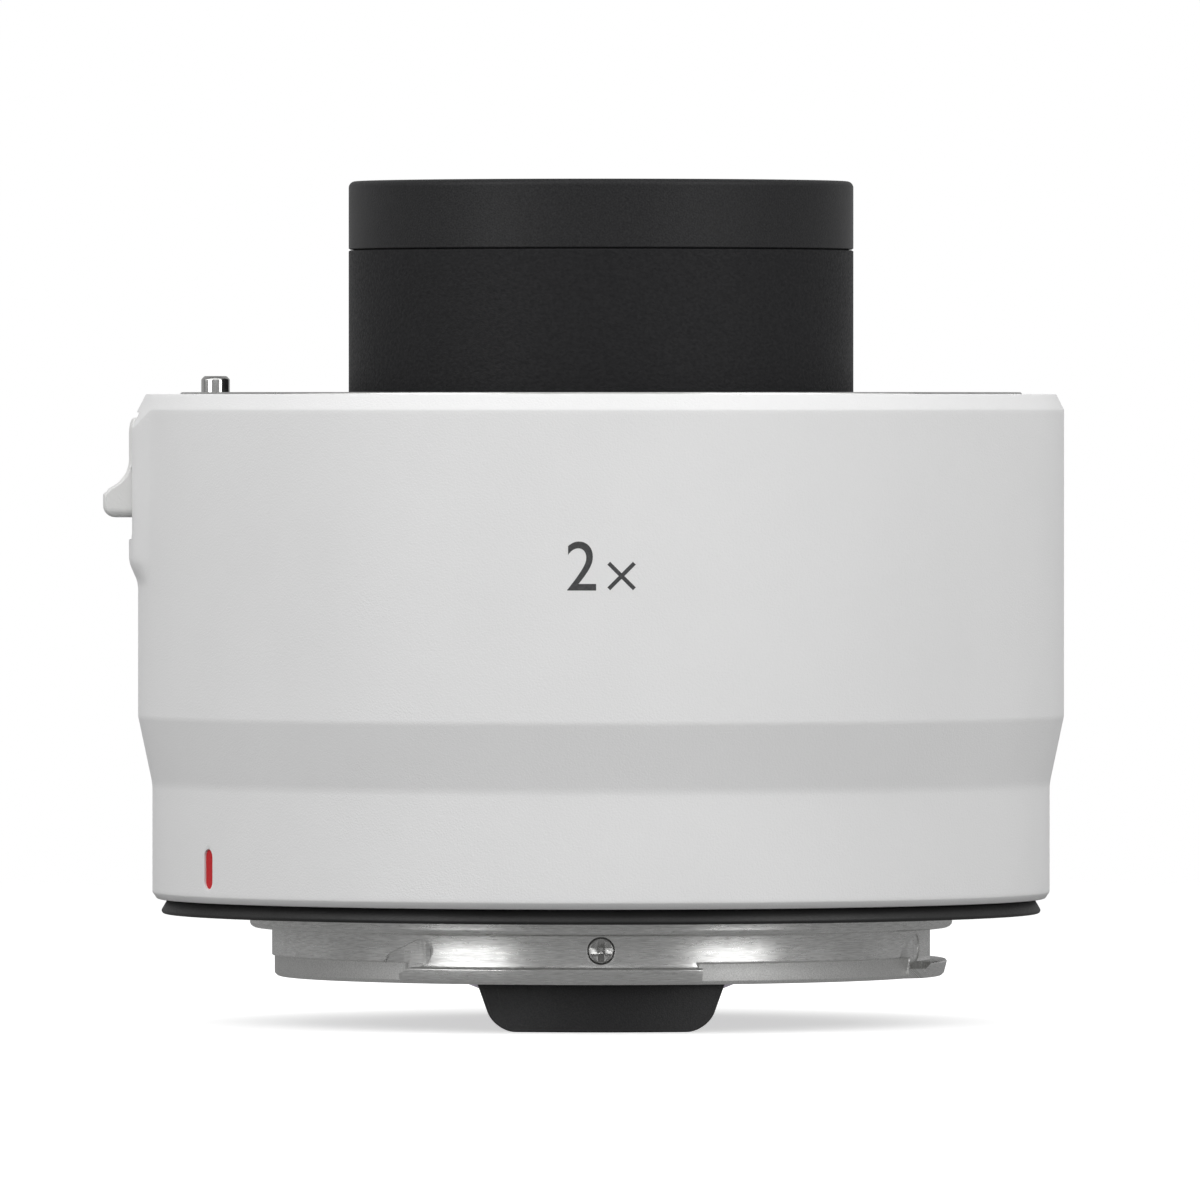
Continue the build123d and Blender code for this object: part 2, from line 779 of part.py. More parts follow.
def lens_mount_ring():
    """Female bayonet: flange, skirt and three inward tabs."""
    ring = turned(
        (throat_radius, skirt_low), (skirt_radius, skirt_low), (skirt_radius, ring_seat),
        (lens_ring_radius, ring_seat), (lens_ring_radius, lens_flange - lens_ring_edge),
        (lens_ring_radius - lens_ring_edge, lens_flange),
        (throat_radius + tab_ring_edge, lens_flange), (throat_radius, lens_flange - tab_ring_edge),
    )
    overlap = (skirt_radius + throat_radius) / 2
    tabs = [
        turned_arc(
            start, end,
            (tab_ring_radius, tab_ring_low + tab_ring_edge), (tab_ring_radius + tab_ring_edge, tab_ring_low),
            (overlap, tab_ring_low), (overlap, tab_ring_top), (tab_ring_radius + tab_ring_edge, tab_ring_top),
            (tab_ring_radius, tab_ring_top - tab_ring_edge),
        )
        for start, end in tab_ring_spans
    ]
    ring = joined([ring] + tabs)
    screw_room = flat_screw_hole(*lens_screw_sizes())
    cuts = around(screw_room, lens_screw_circle, lens_flange, lens_screw_angles, upside_down=True)
    cuts.append(post(lock_pin_radius + running_gap, ring_seat - cut_overrun, lens_flange + cut_overrun,
                     pin_circle_radius, lock_angle))
    cuts.append(radial_post(stop_radius + seat_gap, spigot_radius - cut_overrun, skirt_radius + cut_overrun,
                            skirt_low + stop_rise, stop_angle))
    return ring - cuts


def lens_mount_screws():
    """Four countersunk screws, heads flush with the lens-side flange."""
    screw = flat_screw(*lens_screw_sizes())
    return group(around(screw, lens_screw_circle, lens_flange, lens_screw_angles, upside_down=True))


def mount_leaf_springs():
    """Three thin curved springs under the inward tabs, which press on a lens's lugs."""
    top = tab_ring_low - slide_gap
    inner = tab_ring_radius + tab_ring_edge
    return group(
        turned_arc(start + leaf_end_angle, end - leaf_end_angle,
                   *box_outline(inner, inner + leaf_width, top - leaf_thickness, top))
        for start, end in tab_ring_spans
    )


def bayonet_stop_screw():
    """Radial screw whose end stops a lens's lug at the end of its turn."""
    height = skirt_low + stop_rise
    shank = radial_post(stop_radius, stop_reach_radius, skirt_radius, height, stop_angle)
    head = radial_post(stop_head_radius, skirt_radius + seat_gap, skirt_radius + seat_gap + stop_head_height,
                       height, stop_angle)
    neck = radial_post(stop_radius, skirt_radius - seat_gap, skirt_radius + 2 * seat_gap, height, stop_angle)
    return joined([shank, neck, head])


def inner_frame():
    """Cast frame: camera-side flange, lower tube, deck and upper tube with its screw bosses."""
    flange_radius = barrel_low_bore - seat_gap
    land = lens_ring_radius - seat_gap
    rim = barrel_bore - seat_gap
    body = joined([
        tube(frame_flange_bore, flange_radius, camera_flange_thickness, frame_flange_top),
        tube(frame_tube_bore, frame_tube_radius, frame_flange_top - seat_gap, deck_low + seat_gap),
        tube(deck_bore_radius, frame_upper_radius, deck_low, deck_top),
        tube(frame_upper_bore, frame_upper_radius, deck_top - seat_gap, lip_low),
        tube(frame_upper_bore, rim, lip_low - frame_rim_height, lip_low),
        tube(frame_upper_bore, land, lip_low - seat_gap, ring_seat),
    ] + [post(frame_boss_radius, deck_top - seat_gap, ring_seat, lens_screw_circle, angle)
         for angle in lens_screw_angles]
      + [post(standoff_radius, board_top, deck_low + seat_gap, standoff_circle, angle)
         for angle in standoff_angles])
    window = near_block(slide_half_width + frame_window_margin, bracket_inner_radius - free_gap,
                        barrel_radius, deck_top, ring_seat + cut_overrun)
    cuts = [Rot(0, 0, lock_angle) * window]
    cuts.append(post(lock_stem_radius + running_gap, lock_stem_low - lever_travel - free_gap,
                     deck_top + cut_overrun, pin_circle_radius, lock_angle))
    cuts += around(Cylinder(lens_screw_shank_radius + seat_gap, 2 * lens_screw_reach), lens_screw_circle,
                   lens_flange, lens_screw_angles)
    cuts += around(Cylinder(camera_screw_shank_radius + seat_gap, 2 * (camera_screw_reach + seat_gap)),
                   camera_screw_circle, 0, camera_screw_angles)
    cuts += small_screw_holes(nose_screw_circle, deck_top, nose_screw_angles, True)
    cuts += small_screw_holes(middle_screw_circle, deck_low, middle_screw_angles, False)
    cuts += small_screw_holes(standoff_circle, board_top, standoff_angles, False)
    cuts += small_screw_holes(rear_screw_circle, frame_flange_top, rear_screw_angles, True)
    cuts.append(strip_room(front_strip_width, front_strip_distance, deck_low, deck_top))
    return body - cuts


def small_screw_holes(distance, height, angles, downwards):
    """Threaded holes for the small screws, from a face into the piece behind it."""
    hole = turned(*box_outline(0, small_shank_radius + seat_gap, -cut_overrun, small_screw_reach))
    return around(hole, distance, height, angles, upside_down=downwards)


def small_screws(distance, face, washer, angles, downwards):
    """Small screws whose heads lie on a plate of the given thickness."""
    screw = pan_screw(small_head_radius, small_head_height, small_shank_radius,
                      washer + small_screw_reach - 2 * seat_gap)
    return group(around(screw, distance, face, angles, upside_down=downwards))


def throat_liner():
    """Black ring that closes the throat's floor and lines its wall."""
    inner = nose_radius + slide_gap
    foot_inner = liner_radius - liner_foot_width
    body = turned(
        (inner, nose_foot_top), (foot_inner, nose_foot_top), (foot_inner, deck_top), (liner_radius, deck_top),
        (liner_radius, skirt_low - seat_gap), (liner_radius - liner_wall, skirt_low - seat_gap),
        (liner_radius - liner_wall, liner_top), (inner, liner_top),
    )
    half = carrier_half_angle
    window = turned_arc(180 - half - slide_gap, 180 + half + slide_gap,
                        *box_outline(carrier_inner_radius - slide_gap, carrier_outer_radius + slide_gap,
                                     nose_foot_top - cut_overrun, liner_top + cut_overrun))
    return body - window


def nose_barrel():
    """Black tube that reaches into the lens, on a flange that is screwed to the deck."""
    thread_radius = nose_radius - nose_thread_step
    body = turned(
        (deck_bore_radius + seat_gap, deck_top),
        (nose_foot_radius, deck_top),
        (nose_foot_radius, nose_foot_top),
        (nose_radius, nose_foot_top),
        (nose_radius, nose_shoulder - groove_height / 2),
        (nose_radius - groove_depth, nose_shoulder),
        (thread_radius, nose_shoulder),
        (thread_radius, nose_shoulder + nose_thread_height),
        (nose_bore, nose_shoulder + nose_thread_height),
        (nose_bore, nose_seat_top),
        (deck_bore_radius + seat_gap, nose_seat_top),
    )
    half = carrier_half_angle + carrier_foot_angle
    notch = turned_arc(180 - half - slide_gap, 180 + half + slide_gap,
                       *box_outline(nose_radius, nose_foot_radius + cut_overrun,
                                    deck_top - cut_overrun, nose_foot_top))
    body -= notch
    room = turned(
        (0, -cut_overrun), (small_shank_radius + seat_gap, -cut_overrun),
        (small_shank_radius + seat_gap, nose_foot_thickness - small_head_height - seat_gap),
        (small_head_radius + seat_gap, nose_foot_thickness - small_head_height - seat_gap),
        (small_head_radius + seat_gap, nose_foot_thickness + small_head_height),
        (0, nose_foot_thickness + small_head_height),
    )
    return body - around(room, nose_screw_circle, deck_top, nose_screw_angles)


def nose_foot_screws():
    """Three screws sunk in the nose barrel's flange."""
    web = nose_foot_thickness - small_head_height - seat_gap
    return small_screws(nose_screw_circle, deck_top + web, web, nose_screw_angles, True)


def nose_front_ring():
    """Finer black ring screwed over the nose barrel's top, with a rounded front edge."""
    low = nose_shoulder
    bore = nose_radius - nose_thread_step + seat_gap
    lip_bottom = nose_shoulder + nose_thread_height + seat_gap
    bevel_top = nose_top - front_bevel_drop
    return turned_rounded(
        (nose_radius, nose_top), nose_round,
        (bore, low), (nose_radius - groove_depth, low), (nose_radius, low + groove_height / 2),
        (nose_radius, nose_top), (nose_bore + front_bevel_drop, nose_top),
        (nose_bore, bevel_top), (front_lip_radius, lip_bottom + front_lip_height),
        (front_lip_radius, lip_bottom), (bore, lip_bottom),
    )


def sphere_bow(radius, bulge, distance):
    """How far a bulging face has dropped at a distance from the axis."""
    if bulge == 0:
        return 0
    curve = (radius ** 2 + bulge ** 2) / (2 * abs(bulge))
    return math.copysign(curve - math.sqrt(curve ** 2 - distance ** 2), bulge)


def lens_group(radius, top, length, thickness_shares, bulge_shares):
    """Cemented glasses from the front vertex down, each face part of a sphere."""
    vertices = [top]
    for share in thickness_shares:
        vertices.append(vertices[-1] - share * length)
    glasses = []
    for i in range(len(thickness_shares)):
        high = vertices[i] - (cement_gap if i else 0)
        low = vertices[i + 1]
        faces = []
        for height, bulge in ((high, bulge_shares[i] * length), (low, bulge_shares[i + 1] * length)):
            middle = (radius / 2, height - sphere_bow(radius, bulge, radius / 2))
            edge = (radius, height - sphere_bow(radius, bulge, radius))
            faces.append(((0, height), middle, edge))
        upper, lower = faces
        outline = [
            ThreePointArc(*upper), Line(upper[2], lower[2]), ThreePointArc(*lower), Line(lower[0], upper[0]),
        ]
        glasses.append(revolve(Plane.XZ * make_face(outline), Axis.Z))
    return glasses


def group_edges(radius, top, length, bulge_shares):
    """Heights at which flat rings touch a group's upper and lower faces."""
    places = radius - seat_width, radius
    upper = min(sphere_bow(radius, bulge_shares[0] * length, place) for place in places)
    lower = max(sphere_bow(radius, bulge_shares[-1] * length, place) for place in places)
    return top - upper, top - length - lower


front_single_rim, front_single_foot = group_edges(
    front_single_radius, front_single_top, front_single_length, front_single_bulge_shares)
front_double_rim, front_double_foot = group_edges(
    front_double_radius, front_double_top, front_double_length, front_double_bulge_shares)
middle_triple_rim, middle_triple_foot = group_edges(
    middle_glass_radius, middle_triple_top, middle_triple_length, middle_triple_bulge_shares)
middle_double_rim, middle_double_foot = group_edges(
    middle_glass_radius, middle_double_top, middle_double_length, middle_double_bulge_shares)
rear_dome_rim, rear_dome_foot = group_edges(
    rear_dome_radius, rear_dome_top, rear_dome_length, rear_dome_bulge_shares)


def glasses():
    """The nine glasses, in five groups, from the front."""
    return (
        lens_group(front_single_radius, front_single_top, front_single_length,
                   front_single_thickness_shares, front_single_bulge_shares)
        + lens_group(front_double_radius, front_double_top, front_double_length,
                     front_double_thickness_shares, front_double_bulge_shares)
        + lens_group(middle_glass_radius, middle_triple_top, middle_triple_length,
                     middle_triple_thickness_shares, middle_triple_bulge_shares)
        + lens_group(middle_glass_radius, middle_double_top, middle_double_length,
                     middle_double_thickness_shares, middle_double_bulge_shares)
        + lens_group(rear_dome_radius, rear_dome_top, rear_dome_length,
                     rear_dome_thickness_shares, rear_dome_bulge_shares)
    )


def front_lens_cell():
    """Cell in the nose for the front single lens and the doublet behind it."""
    outer = nose_bore - seat_gap
    bottom = nose_seat_top
    upper_bore = front_single_radius + seat_gap
    lower_bore = front_double_radius + seat_gap
    seat_bore = front_double_radius - seat_width
    return turned(
        (front_cell_low_bore, bottom), (outer, bottom),
        (outer, front_single_rim + retainer_height), (upper_bore, front_single_rim + retainer_height),
        (upper_bore, front_single_foot), (lower_bore, front_single_foot),
        (lower_bore, front_double_foot), (seat_bore, front_double_foot),
        (seat_bore, front_double_foot - seat_thickness),
        (front_cell_low_bore, front_double_foot - seat_thickness),
    )


def front_spacer():
    """Thin ring that keeps the front two groups apart."""
    return tube(front_double_radius - seat_width, front_double_radius, front_double_rim, front_single_foot)


def retaining_ring(radius, low, high, faces_down=False):
    """Threaded ring that holds a group in its cell, with two spanner slots in its outer face."""
    slot_low = low - cut_overrun if faces_down else high - retainer_slot_depth
    slot = Box(2 * radius + cut_overrun, retainer_slot_width, retainer_slot_depth + cut_overrun,
               align=(Align.CENTER, Align.CENTER, Align.MIN))
    return tube(radius - seat_width, radius, low, high) - Pos(0, 0, slot_low) * slot


def middle_lens_cell():
    """Cell through the deck for the triplet and the doublet, hung by its flange."""
    outer = middle_cell_radius
    low = middle_double_foot - retainer_height
    high = middle_triple_rim + retainer_height
    bore = middle_glass_radius + seat_gap
    seat_bore = middle_glass_radius - seat_width
    flange_low = deck_low - middle_cell_flange_thickness
    body = turned(
        (bore, low), (outer, low), (outer, flange_low), (middle_cell_flange_radius, flange_low),
        (middle_cell_flange_radius, deck_low), (outer, deck_low), (outer, high), (bore, high),
        (bore, middle_triple_foot), (seat_bore, middle_triple_foot), (seat_bore, middle_double_rim),
        (bore, middle_double_rim),
    )
    hole = Cylinder(small_shank_radius + seat_gap, 4 * middle_cell_flange_thickness)
    return body - around(hole, middle_screw_circle, deck_low, middle_screw_angles)


def rear_lens_cell():
    """Cell for the rear dome, its flange on top of the frame's."""
    outer = rear_dome_radius + rear_cell_wall
    bottom = rear_dome_foot - retainer_height
    bore = rear_dome_radius + seat_gap
    flange_radius = frame_tube_bore - seat_gap
    flange_low = frame_flange_top
    flange_high = frame_flange_top + rear_cell_flange_thickness
    body = turned(
        (bore, bottom), (outer, bottom), (outer, flange_low), (flange_radius, flange_low),
        (flange_radius, flange_high), (bore - seat_width, flange_high), (bore - seat_width, rear_dome_rim),
        (bore, rear_dome_rim),
    )
    hole = Cylinder(small_shank_radius + seat_gap, 4 * rear_cell_flange_thickness)
    cuts = around(hole, rear_screw_circle, flange_low, rear_screw_angles)
    cuts.append(strip_room(rear_strip_width, rear_strip_distance, flange_low, flange_high))
    return body - cuts


def rear_retaining_ring():
    """Ring that holds the rear dome in its cell."""
    return retaining_ring(rear_dome_radius, rear_dome_foot - retainer_height, rear_dome_foot, True)


def contact_carrier():
    """Black block on the throat's floor that guides the twelve sprung pins."""
    half = carrier_half_angle
    foot_half = carrier_half_angle + carrier_foot_angle
    foot = turned_arc(180 - foot_half, 180 + foot_half,
                      *box_outline(carrier_inner_radius - carrier_foot_margin,
                                   carrier_outer_radius + carrier_foot_margin,
                                   deck_top, nose_foot_top - seat_gap))
    block = turned_arc(180 - half, 180 + half,
                       *box_outline(carrier_inner_radius, carrier_outer_radius, deck_top, carrier_top))
    body = foot + block
    collar_top = carrier_collar_top()
    chamber = turned(
        (0, deck_top - cut_overrun),
        (contact_collar_radius + running_gap, deck_top - cut_overrun),
        (contact_collar_radius + running_gap, collar_top + seat_gap),
        (contact_pin_radius + running_gap, collar_top + seat_gap),
        (contact_pin_radius + running_gap, carrier_top + cut_overrun),
        (0, carrier_top + cut_overrun),
    )
    return body - around(chamber, contact_circle_radius, 0, contact_angles())


def carrier_collar_top():
    """Top of the pins' collars at rest."""
    return deck_top + contact_spring_length + contact_collar_height


def contact_pins():
    """Twelve gold-plated pins with collars and rounded tips."""
    tip = contact_tip_height
    low = deck_top + contact_spring_length
    pin = turned(
        (0, low), (contact_collar_radius, low), (contact_collar_radius, low + contact_collar_height),
        (contact_pin_radius, low + contact_collar_height), (contact_pin_radius, tip - contact_tip_round),
        (contact_pin_radius - contact_tip_round, tip), (0, tip),
    )
    return group(around(pin, contact_circle_radius, 0, contact_angles()))


def contact_springs():
    """A short spring under each pin, drawn as a sleeve."""
    sleeve = tube(contact_collar_radius - contact_spring_wall, contact_collar_radius,
                  deck_top, deck_top + contact_spring_length)
    return group(around(sleeve, contact_circle_radius, 0, contact_angles()))


def middle_screws():
    """Three screws from below, through the middle cell's flange into the deck."""
    flange_low = deck_low - middle_cell_flange_thickness
    return small_screws(middle_screw_circle, flange_low, middle_cell_flange_thickness,
                        middle_screw_angles, False)


def rear_cell_screws():
    """Three screws that hold the rear cell's flange down on the frame."""
    top = frame_flange_top + rear_cell_flange_thickness
    return small_screws(rear_screw_circle, top, rear_cell_flange_thickness, rear_screw_angles, True)


def board_screws():
    """Three screws from below, through the board into its standoffs."""
    return small_screws(standoff_circle, board_low, board_thickness, standoff_angles, False)


def circuit_board():
    """Ring-shaped board on three standoffs under the deck."""
    board = tube(board_inner_radius, board_outer_radius, board_low, board_top)
    hole = Cylinder(small_shank_radius + seat_gap, 4 * board_thickness)
    return board - around(hole, standoff_circle, board_low, standoff_angles)


def board_chips():
    """Four square chips on the board."""
    chip = Box(chip_size, chip_size, chip_height, align=(Align.CENTER, Align.CENTER, Align.MIN))
    return group(around(chip, chip_circle, board_top, chip_angles))


def flat_strip(width, distance, low, high):
    """Flexible printed strip standing on edge on the far side."""
    strip = near_block(width / 2, distance - strip_thickness / 2, distance + strip_thickness / 2, low, high)
    return Rot(0, 0, 180) * strip


def release_lever():
    """White lever: a curved plate with a thumb hook outside and a stem through the wall."""
    inner = pocket_floor_radius + slide_gap
    outer = boss_radius
    round_low = lever_high - lever_round_drop
    ramp_start = lever_tip_high + lever_tip_low_round / 4
    ramp_middle = (outer + lever_ramp_mid_reach_share * lever_tip_reach,
                   lever_tip_high + lever_ramp_mid_share * lever_ramp_height)
    ramp_top = lever_tip_high + lever_ramp_height
    profile = [
        Line((inner, lever_low), (lever_tip_radius, lever_low)),
        Line((lever_tip_radius, lever_low), (lever_tip_radius, lever_tip_high)),
        Line((lever_tip_radius, lever_tip_high), (lever_tip_radius - lever_round_depth / 2, ramp_start)),
        ThreePointArc((lever_tip_radius - lever_round_depth / 2, ramp_start), ramp_middle, (outer, ramp_top)),
        Line((outer, ramp_top), (outer, round_low)),
        ThreePointArc(
            (outer, round_low), (outer - lever_round_depth / 4, (round_low + lever_high) / 2),
            (outer - lever_round_depth, lever_high),
        ),
        Line((outer - lever_round_depth, lever_high), (inner, lever_high)),
        Line((inner, lever_high), (inner, lever_low)),
    ]
    face = make_face(profile)
    low_corner = face.vertices().sort_by_distance((lever_tip_radius, lever_low))[0]
    body = revolve(Plane.XZ * fillet(low_corner, lever_tip_low_round), Axis.Z)
    body &= near_block(lever_half_width, inner - cut_overrun, lever_tip_radius + cut_overrun,
                       lever_low - cut_overrun, lever_high + cut_overrun)
    stem = near_block(stem_width / 2, barrel_bore, inner + slide_gap, stem_low, stem_high)
    stem -= Cylinder(barrel_bore - slide_gap, 2 * mount_distance)
    body = body + stem
    for height in lever_screw_heights():
        body -= radial_post(lever_screw_shank_radius + seat_gap, barrel_bore - cut_overrun,
                            barrel_bore - slide_gap + lever_screw_reach, height, 0)
    return Rot(0, 0, lock_angle) * body


def lever_screw_heights():
    """Heights of the two screws in the lever's stem."""
    return stem_low + lever_screw_inset, stem_high - lever_screw_inset


def lever_slide():
    """Curved plate inside the barrel, with the forked bracket that pushes the lock pin down."""
    outer = barrel_bore - slide_gap
    plate = near_block(slide_half_width, outer - 2 * slide_thickness, outer + cut_overrun,
                       slide_low, slide_high)
    plate &= tube(outer - slide_thickness, outer, slide_low, slide_high)
    bracket = near_block(bracket_half_width, bracket_inner_radius, outer - slide_thickness / 2,
                         bracket_low, bracket_low + bracket_thickness)
    body = plate + bracket
    fork = joined([
        post(lock_pin_radius + slide_gap, bracket_low - cut_overrun,
             bracket_low + bracket_thickness + cut_overrun, pin_circle_radius, 0),
        near_block(lock_pin_radius + slide_gap, bracket_inner_radius - cut_overrun, pin_circle_radius,
                   bracket_low - cut_overrun, bracket_low + bracket_thickness + cut_overrun),
    ])
    body -= fork
    for height in lever_screw_heights():
        body -= radial_post(lever_screw_shank_radius + seat_gap, outer - 2 * slide_thickness,
                            outer + cut_overrun, height, 0)
    return Rot(0, 0, lock_angle) * body


def lever_screws():
    """Two screws from inside, through the slide into the lever's stem."""
    seat = barrel_bore - slide_gap - slide_thickness
    tip = barrel_bore - slide_gap + lever_screw_reach - seat_gap
    screws = []
    for height in lever_screw_heights():
        head = radial_post(lever_screw_head_radius, seat - lever_screw_head_height - seat_gap,
                           seat - seat_gap, height, lock_angle)
        shank = radial_post(lever_screw_shank_radius, seat - lever_screw_head_height, tip, height, lock_angle)
        screws.append(head + shank)
    return group(screws)


def lock_pin():
    """Polished pin that locks a lens in the bayonet, with a collar under the slide's bracket."""
    top = lens_flange + lock_pin_proud
    collar_top = bracket_low - seat_gap
    collar_low = collar_top - lock_collar_height
    pin = turned(
        (0, lock_stem_low), (lock_stem_radius, lock_stem_low), (lock_stem_radius, collar_low),
        (lock_collar_radius, collar_low), (lock_collar_radius, collar_top), (lock_pin_radius, collar_top),
        (lock_pin_radius, top - lock_pin_edge), (lock_pin_radius - lock_pin_edge, top), (0, top),
    )
    return Rot(0, 0, lock_angle) * Pos(0, -pin_circle_radius, 0) * pin


def lock_pin_spring():
    """Coil round the pin's lower stem, between the deck and the collar."""
    radius = lock_collar_radius - spring_wire_radius
    low = deck_top + spring_wire_radius
    high = bracket_low - seat_gap - lock_collar_height - spring_wire_radius
    path = Helix(pitch=(high - low) / spring_turns, height=high - low, radius=radius)
    section = Plane(origin=path @ 0, z_dir=path % 0) * Circle(spring_wire_radius - cement_gap)
    coil = sweep(section, path=path)
    return Rot(0, 0, lock_angle) * Pos(0, -pin_circle_radius, low) * coil


pieces = {
    "outer_barrel": outer_barrel(),
    "camera_index_mark": camera_mark(0, 0),
    "lens_index_mark": lens_mark(0, 0),
    "inner_frame": inner_frame(),
    "camera_mount_ring": camera_mount_ring(),
    "camera_mount_screws": camera_mount_screws(),
    "mount_seal": mount_seal(),
    "rear_baffle": rear_baffle(),
    "baffle_side_screws": side_screws(),
    "rear_contact_block": rear_contact_block(),
    "rear_contact_pads": rear_contact_pads(),
    "lens_mount_ring": lens_mount_ring(),
    "lens_mount_screws": lens_mount_screws(),
    "mount_leaf_springs": mount_leaf_springs(),
    "bayonet_stop_screw": bayonet_stop_screw(),
    "throat_liner": throat_liner(),
    "nose_barrel": nose_barrel(),
    "nose_foot_screws": nose_foot_screws(),
    "nose_front_ring": nose_front_ring(),
    "front_lens_cell": front_lens_cell(),
    "front_retaining_ring": retaining_ring(front_single_radius, front_single_rim,
                                           front_single_rim + retainer_height),
    "front_spacer": front_spacer(),
    "middle_lens_cell": middle_lens_cell(),
    "middle_upper_retainer": retaining_ring(middle_glass_radius, middle_triple_rim,
                                            middle_triple_rim + retainer_height),
    "middle_lower_retainer": retaining_ring(middle_glass_radius, middle_double_foot - retainer_height,
                                            middle_double_foot, True),
    "middle_cell_screws": middle_screws(),
    "rear_lens_cell": rear_lens_cell(),
    "rear_retaining_ring": rear_retaining_ring(),
    "rear_cell_screws": rear_cell_screws(),
    "contact_carrier": contact_carrier(),
    "contact_pins": contact_pins(),
    "contact_springs": contact_springs(),
    "circuit_board": circuit_board(),
    "board_chips": board_chips(),
    "board_screws": board_screws(),
    "rear_contact_strip": flat_strip(rear_strip_width, rear_strip_distance, -baffle_drop, board_low),
    "front_contact_strip": flat_strip(front_strip_width, front_strip_distance, board_top, deck_top),
    "release_lever": release_lever(),
    "lever_slide": lever_slide(),
    "lever_screws": lever_screws(),
    "lock_pin": lock_pin(),
    "lock_pin_spring": lock_pin_spring(),
}
for number, glass in enumerate(glasses(), start=1):
    pieces[f"glass_{number}"] = glass

def save(name, shape):
    """Writes one node, turned into a plain compound of its solids."""
    solids = shape.solids()
    export_step(solids[0] if len(solids) == 1 else Compound(children=list(solids)), f"parts/{name}.step")


os.makedirs("parts", exist_ok=True)
for name, shape in pieces.items():
    save(name, shape)
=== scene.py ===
import math
import bmesh
import bpy
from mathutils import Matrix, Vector


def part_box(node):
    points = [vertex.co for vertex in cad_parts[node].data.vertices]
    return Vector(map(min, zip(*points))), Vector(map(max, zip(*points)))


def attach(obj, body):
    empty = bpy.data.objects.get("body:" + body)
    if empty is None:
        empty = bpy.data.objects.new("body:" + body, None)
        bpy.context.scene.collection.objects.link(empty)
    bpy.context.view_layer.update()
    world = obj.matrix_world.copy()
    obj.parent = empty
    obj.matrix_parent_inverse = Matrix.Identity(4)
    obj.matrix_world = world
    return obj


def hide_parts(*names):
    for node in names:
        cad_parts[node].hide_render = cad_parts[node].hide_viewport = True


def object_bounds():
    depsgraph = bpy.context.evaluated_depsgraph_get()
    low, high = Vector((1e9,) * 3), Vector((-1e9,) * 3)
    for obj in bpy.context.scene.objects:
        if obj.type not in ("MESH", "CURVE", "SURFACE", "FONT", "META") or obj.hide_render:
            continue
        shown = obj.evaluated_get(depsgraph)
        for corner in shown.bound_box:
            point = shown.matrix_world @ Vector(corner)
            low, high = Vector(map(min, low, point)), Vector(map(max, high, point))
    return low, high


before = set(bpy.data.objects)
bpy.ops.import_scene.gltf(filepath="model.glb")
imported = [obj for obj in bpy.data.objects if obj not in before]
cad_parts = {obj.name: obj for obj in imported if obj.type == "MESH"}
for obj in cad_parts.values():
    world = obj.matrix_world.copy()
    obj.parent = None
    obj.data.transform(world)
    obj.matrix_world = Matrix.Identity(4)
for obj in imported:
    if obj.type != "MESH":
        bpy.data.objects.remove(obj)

cad_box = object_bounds()


# Camera: level with the barrel's top edge and 1.46 m in front of the optical axis, turned down
# a little so that the whole unit stands in the middle of the picture.
camera_height, camera_distance = 0.03854, 1.46
picture_height = 0.09227
picture_centre = Vector((-0.00008, 0, 0.02332))
camera_data = bpy.data.cameras.new("picture_camera")
camera_data.lens = camera_data.sensor_width * camera_distance / picture_height
camera_data.clip_start, camera_data.clip_end = 0.1, 20
camera = bpy.data.objects.new("picture_camera", camera_data)
bpy.context.scene.collection.objects.link(camera)
camera.location = (picture_centre.x, -camera_distance, camera_height)
camera.rotation_euler = (picture_centre - camera.location).to_track_quat("-Z", "Y").to_euler()
bpy.context.scene.camera = camera


# Studio: a plain surround and eight soft boxes. The room is white to the camera, lights the object
# most from the two ends, and shows less of itself in polished metal and glass.
def feed(node, inputs):
    """Sets each input of a node to a value, or links it to another node's output."""
    for plug, value in inputs.items():
        if isinstance(value, bpy.types.NodeSocket):
            node.id_data.links.new(value, node.inputs[plug])
        else:
            node.inputs[plug].default_value = value


def add_node(nodes, kind, inputs={}, **settings):
    """Places a shader node, sets and feeds it, and gives its outputs."""
    node = nodes.new("ShaderNode" + kind)
    for name, value in settings.items():
        setattr(node, name, value)
    feed(node, inputs)
    return node.outputs


def compute(nodes, operation, *values, kind="Math"):
    """Outputs of a math node."""
    return add_node(nodes, kind, dict(enumerate(values)), operation=operation)


bpy.context.scene.view_settings.view_transform = "Standard"
world = bpy.data.worlds.new("studio")
bpy.context.scene.world = world
world.use_nodes = True
nodes = world.node_tree.nodes
nodes.clear()
room_axes = add_node(nodes, "SeparateXYZ", {0: add_node(nodes, "TexCoord")["Generated"]})


def room_side(axis, start, end, strength):
    """Light that rises from nothing to a strength along one direction of the room."""
    span = {"From Min": start, "From Max": end, "To Max": strength, "Value": room_axes[axis]}
    return add_node(nodes, "MapRange", span, interpolation_type="SMOOTHSTEP")[0]


def room_light(total, *others):
    """White light of the summed strengths."""
    for other in others:
        total = compute(nodes, "ADD", total, other)[0]
    return add_node(nodes, "Background", {"Color": (1, 1, 1, 1), "Strength": total})[0]


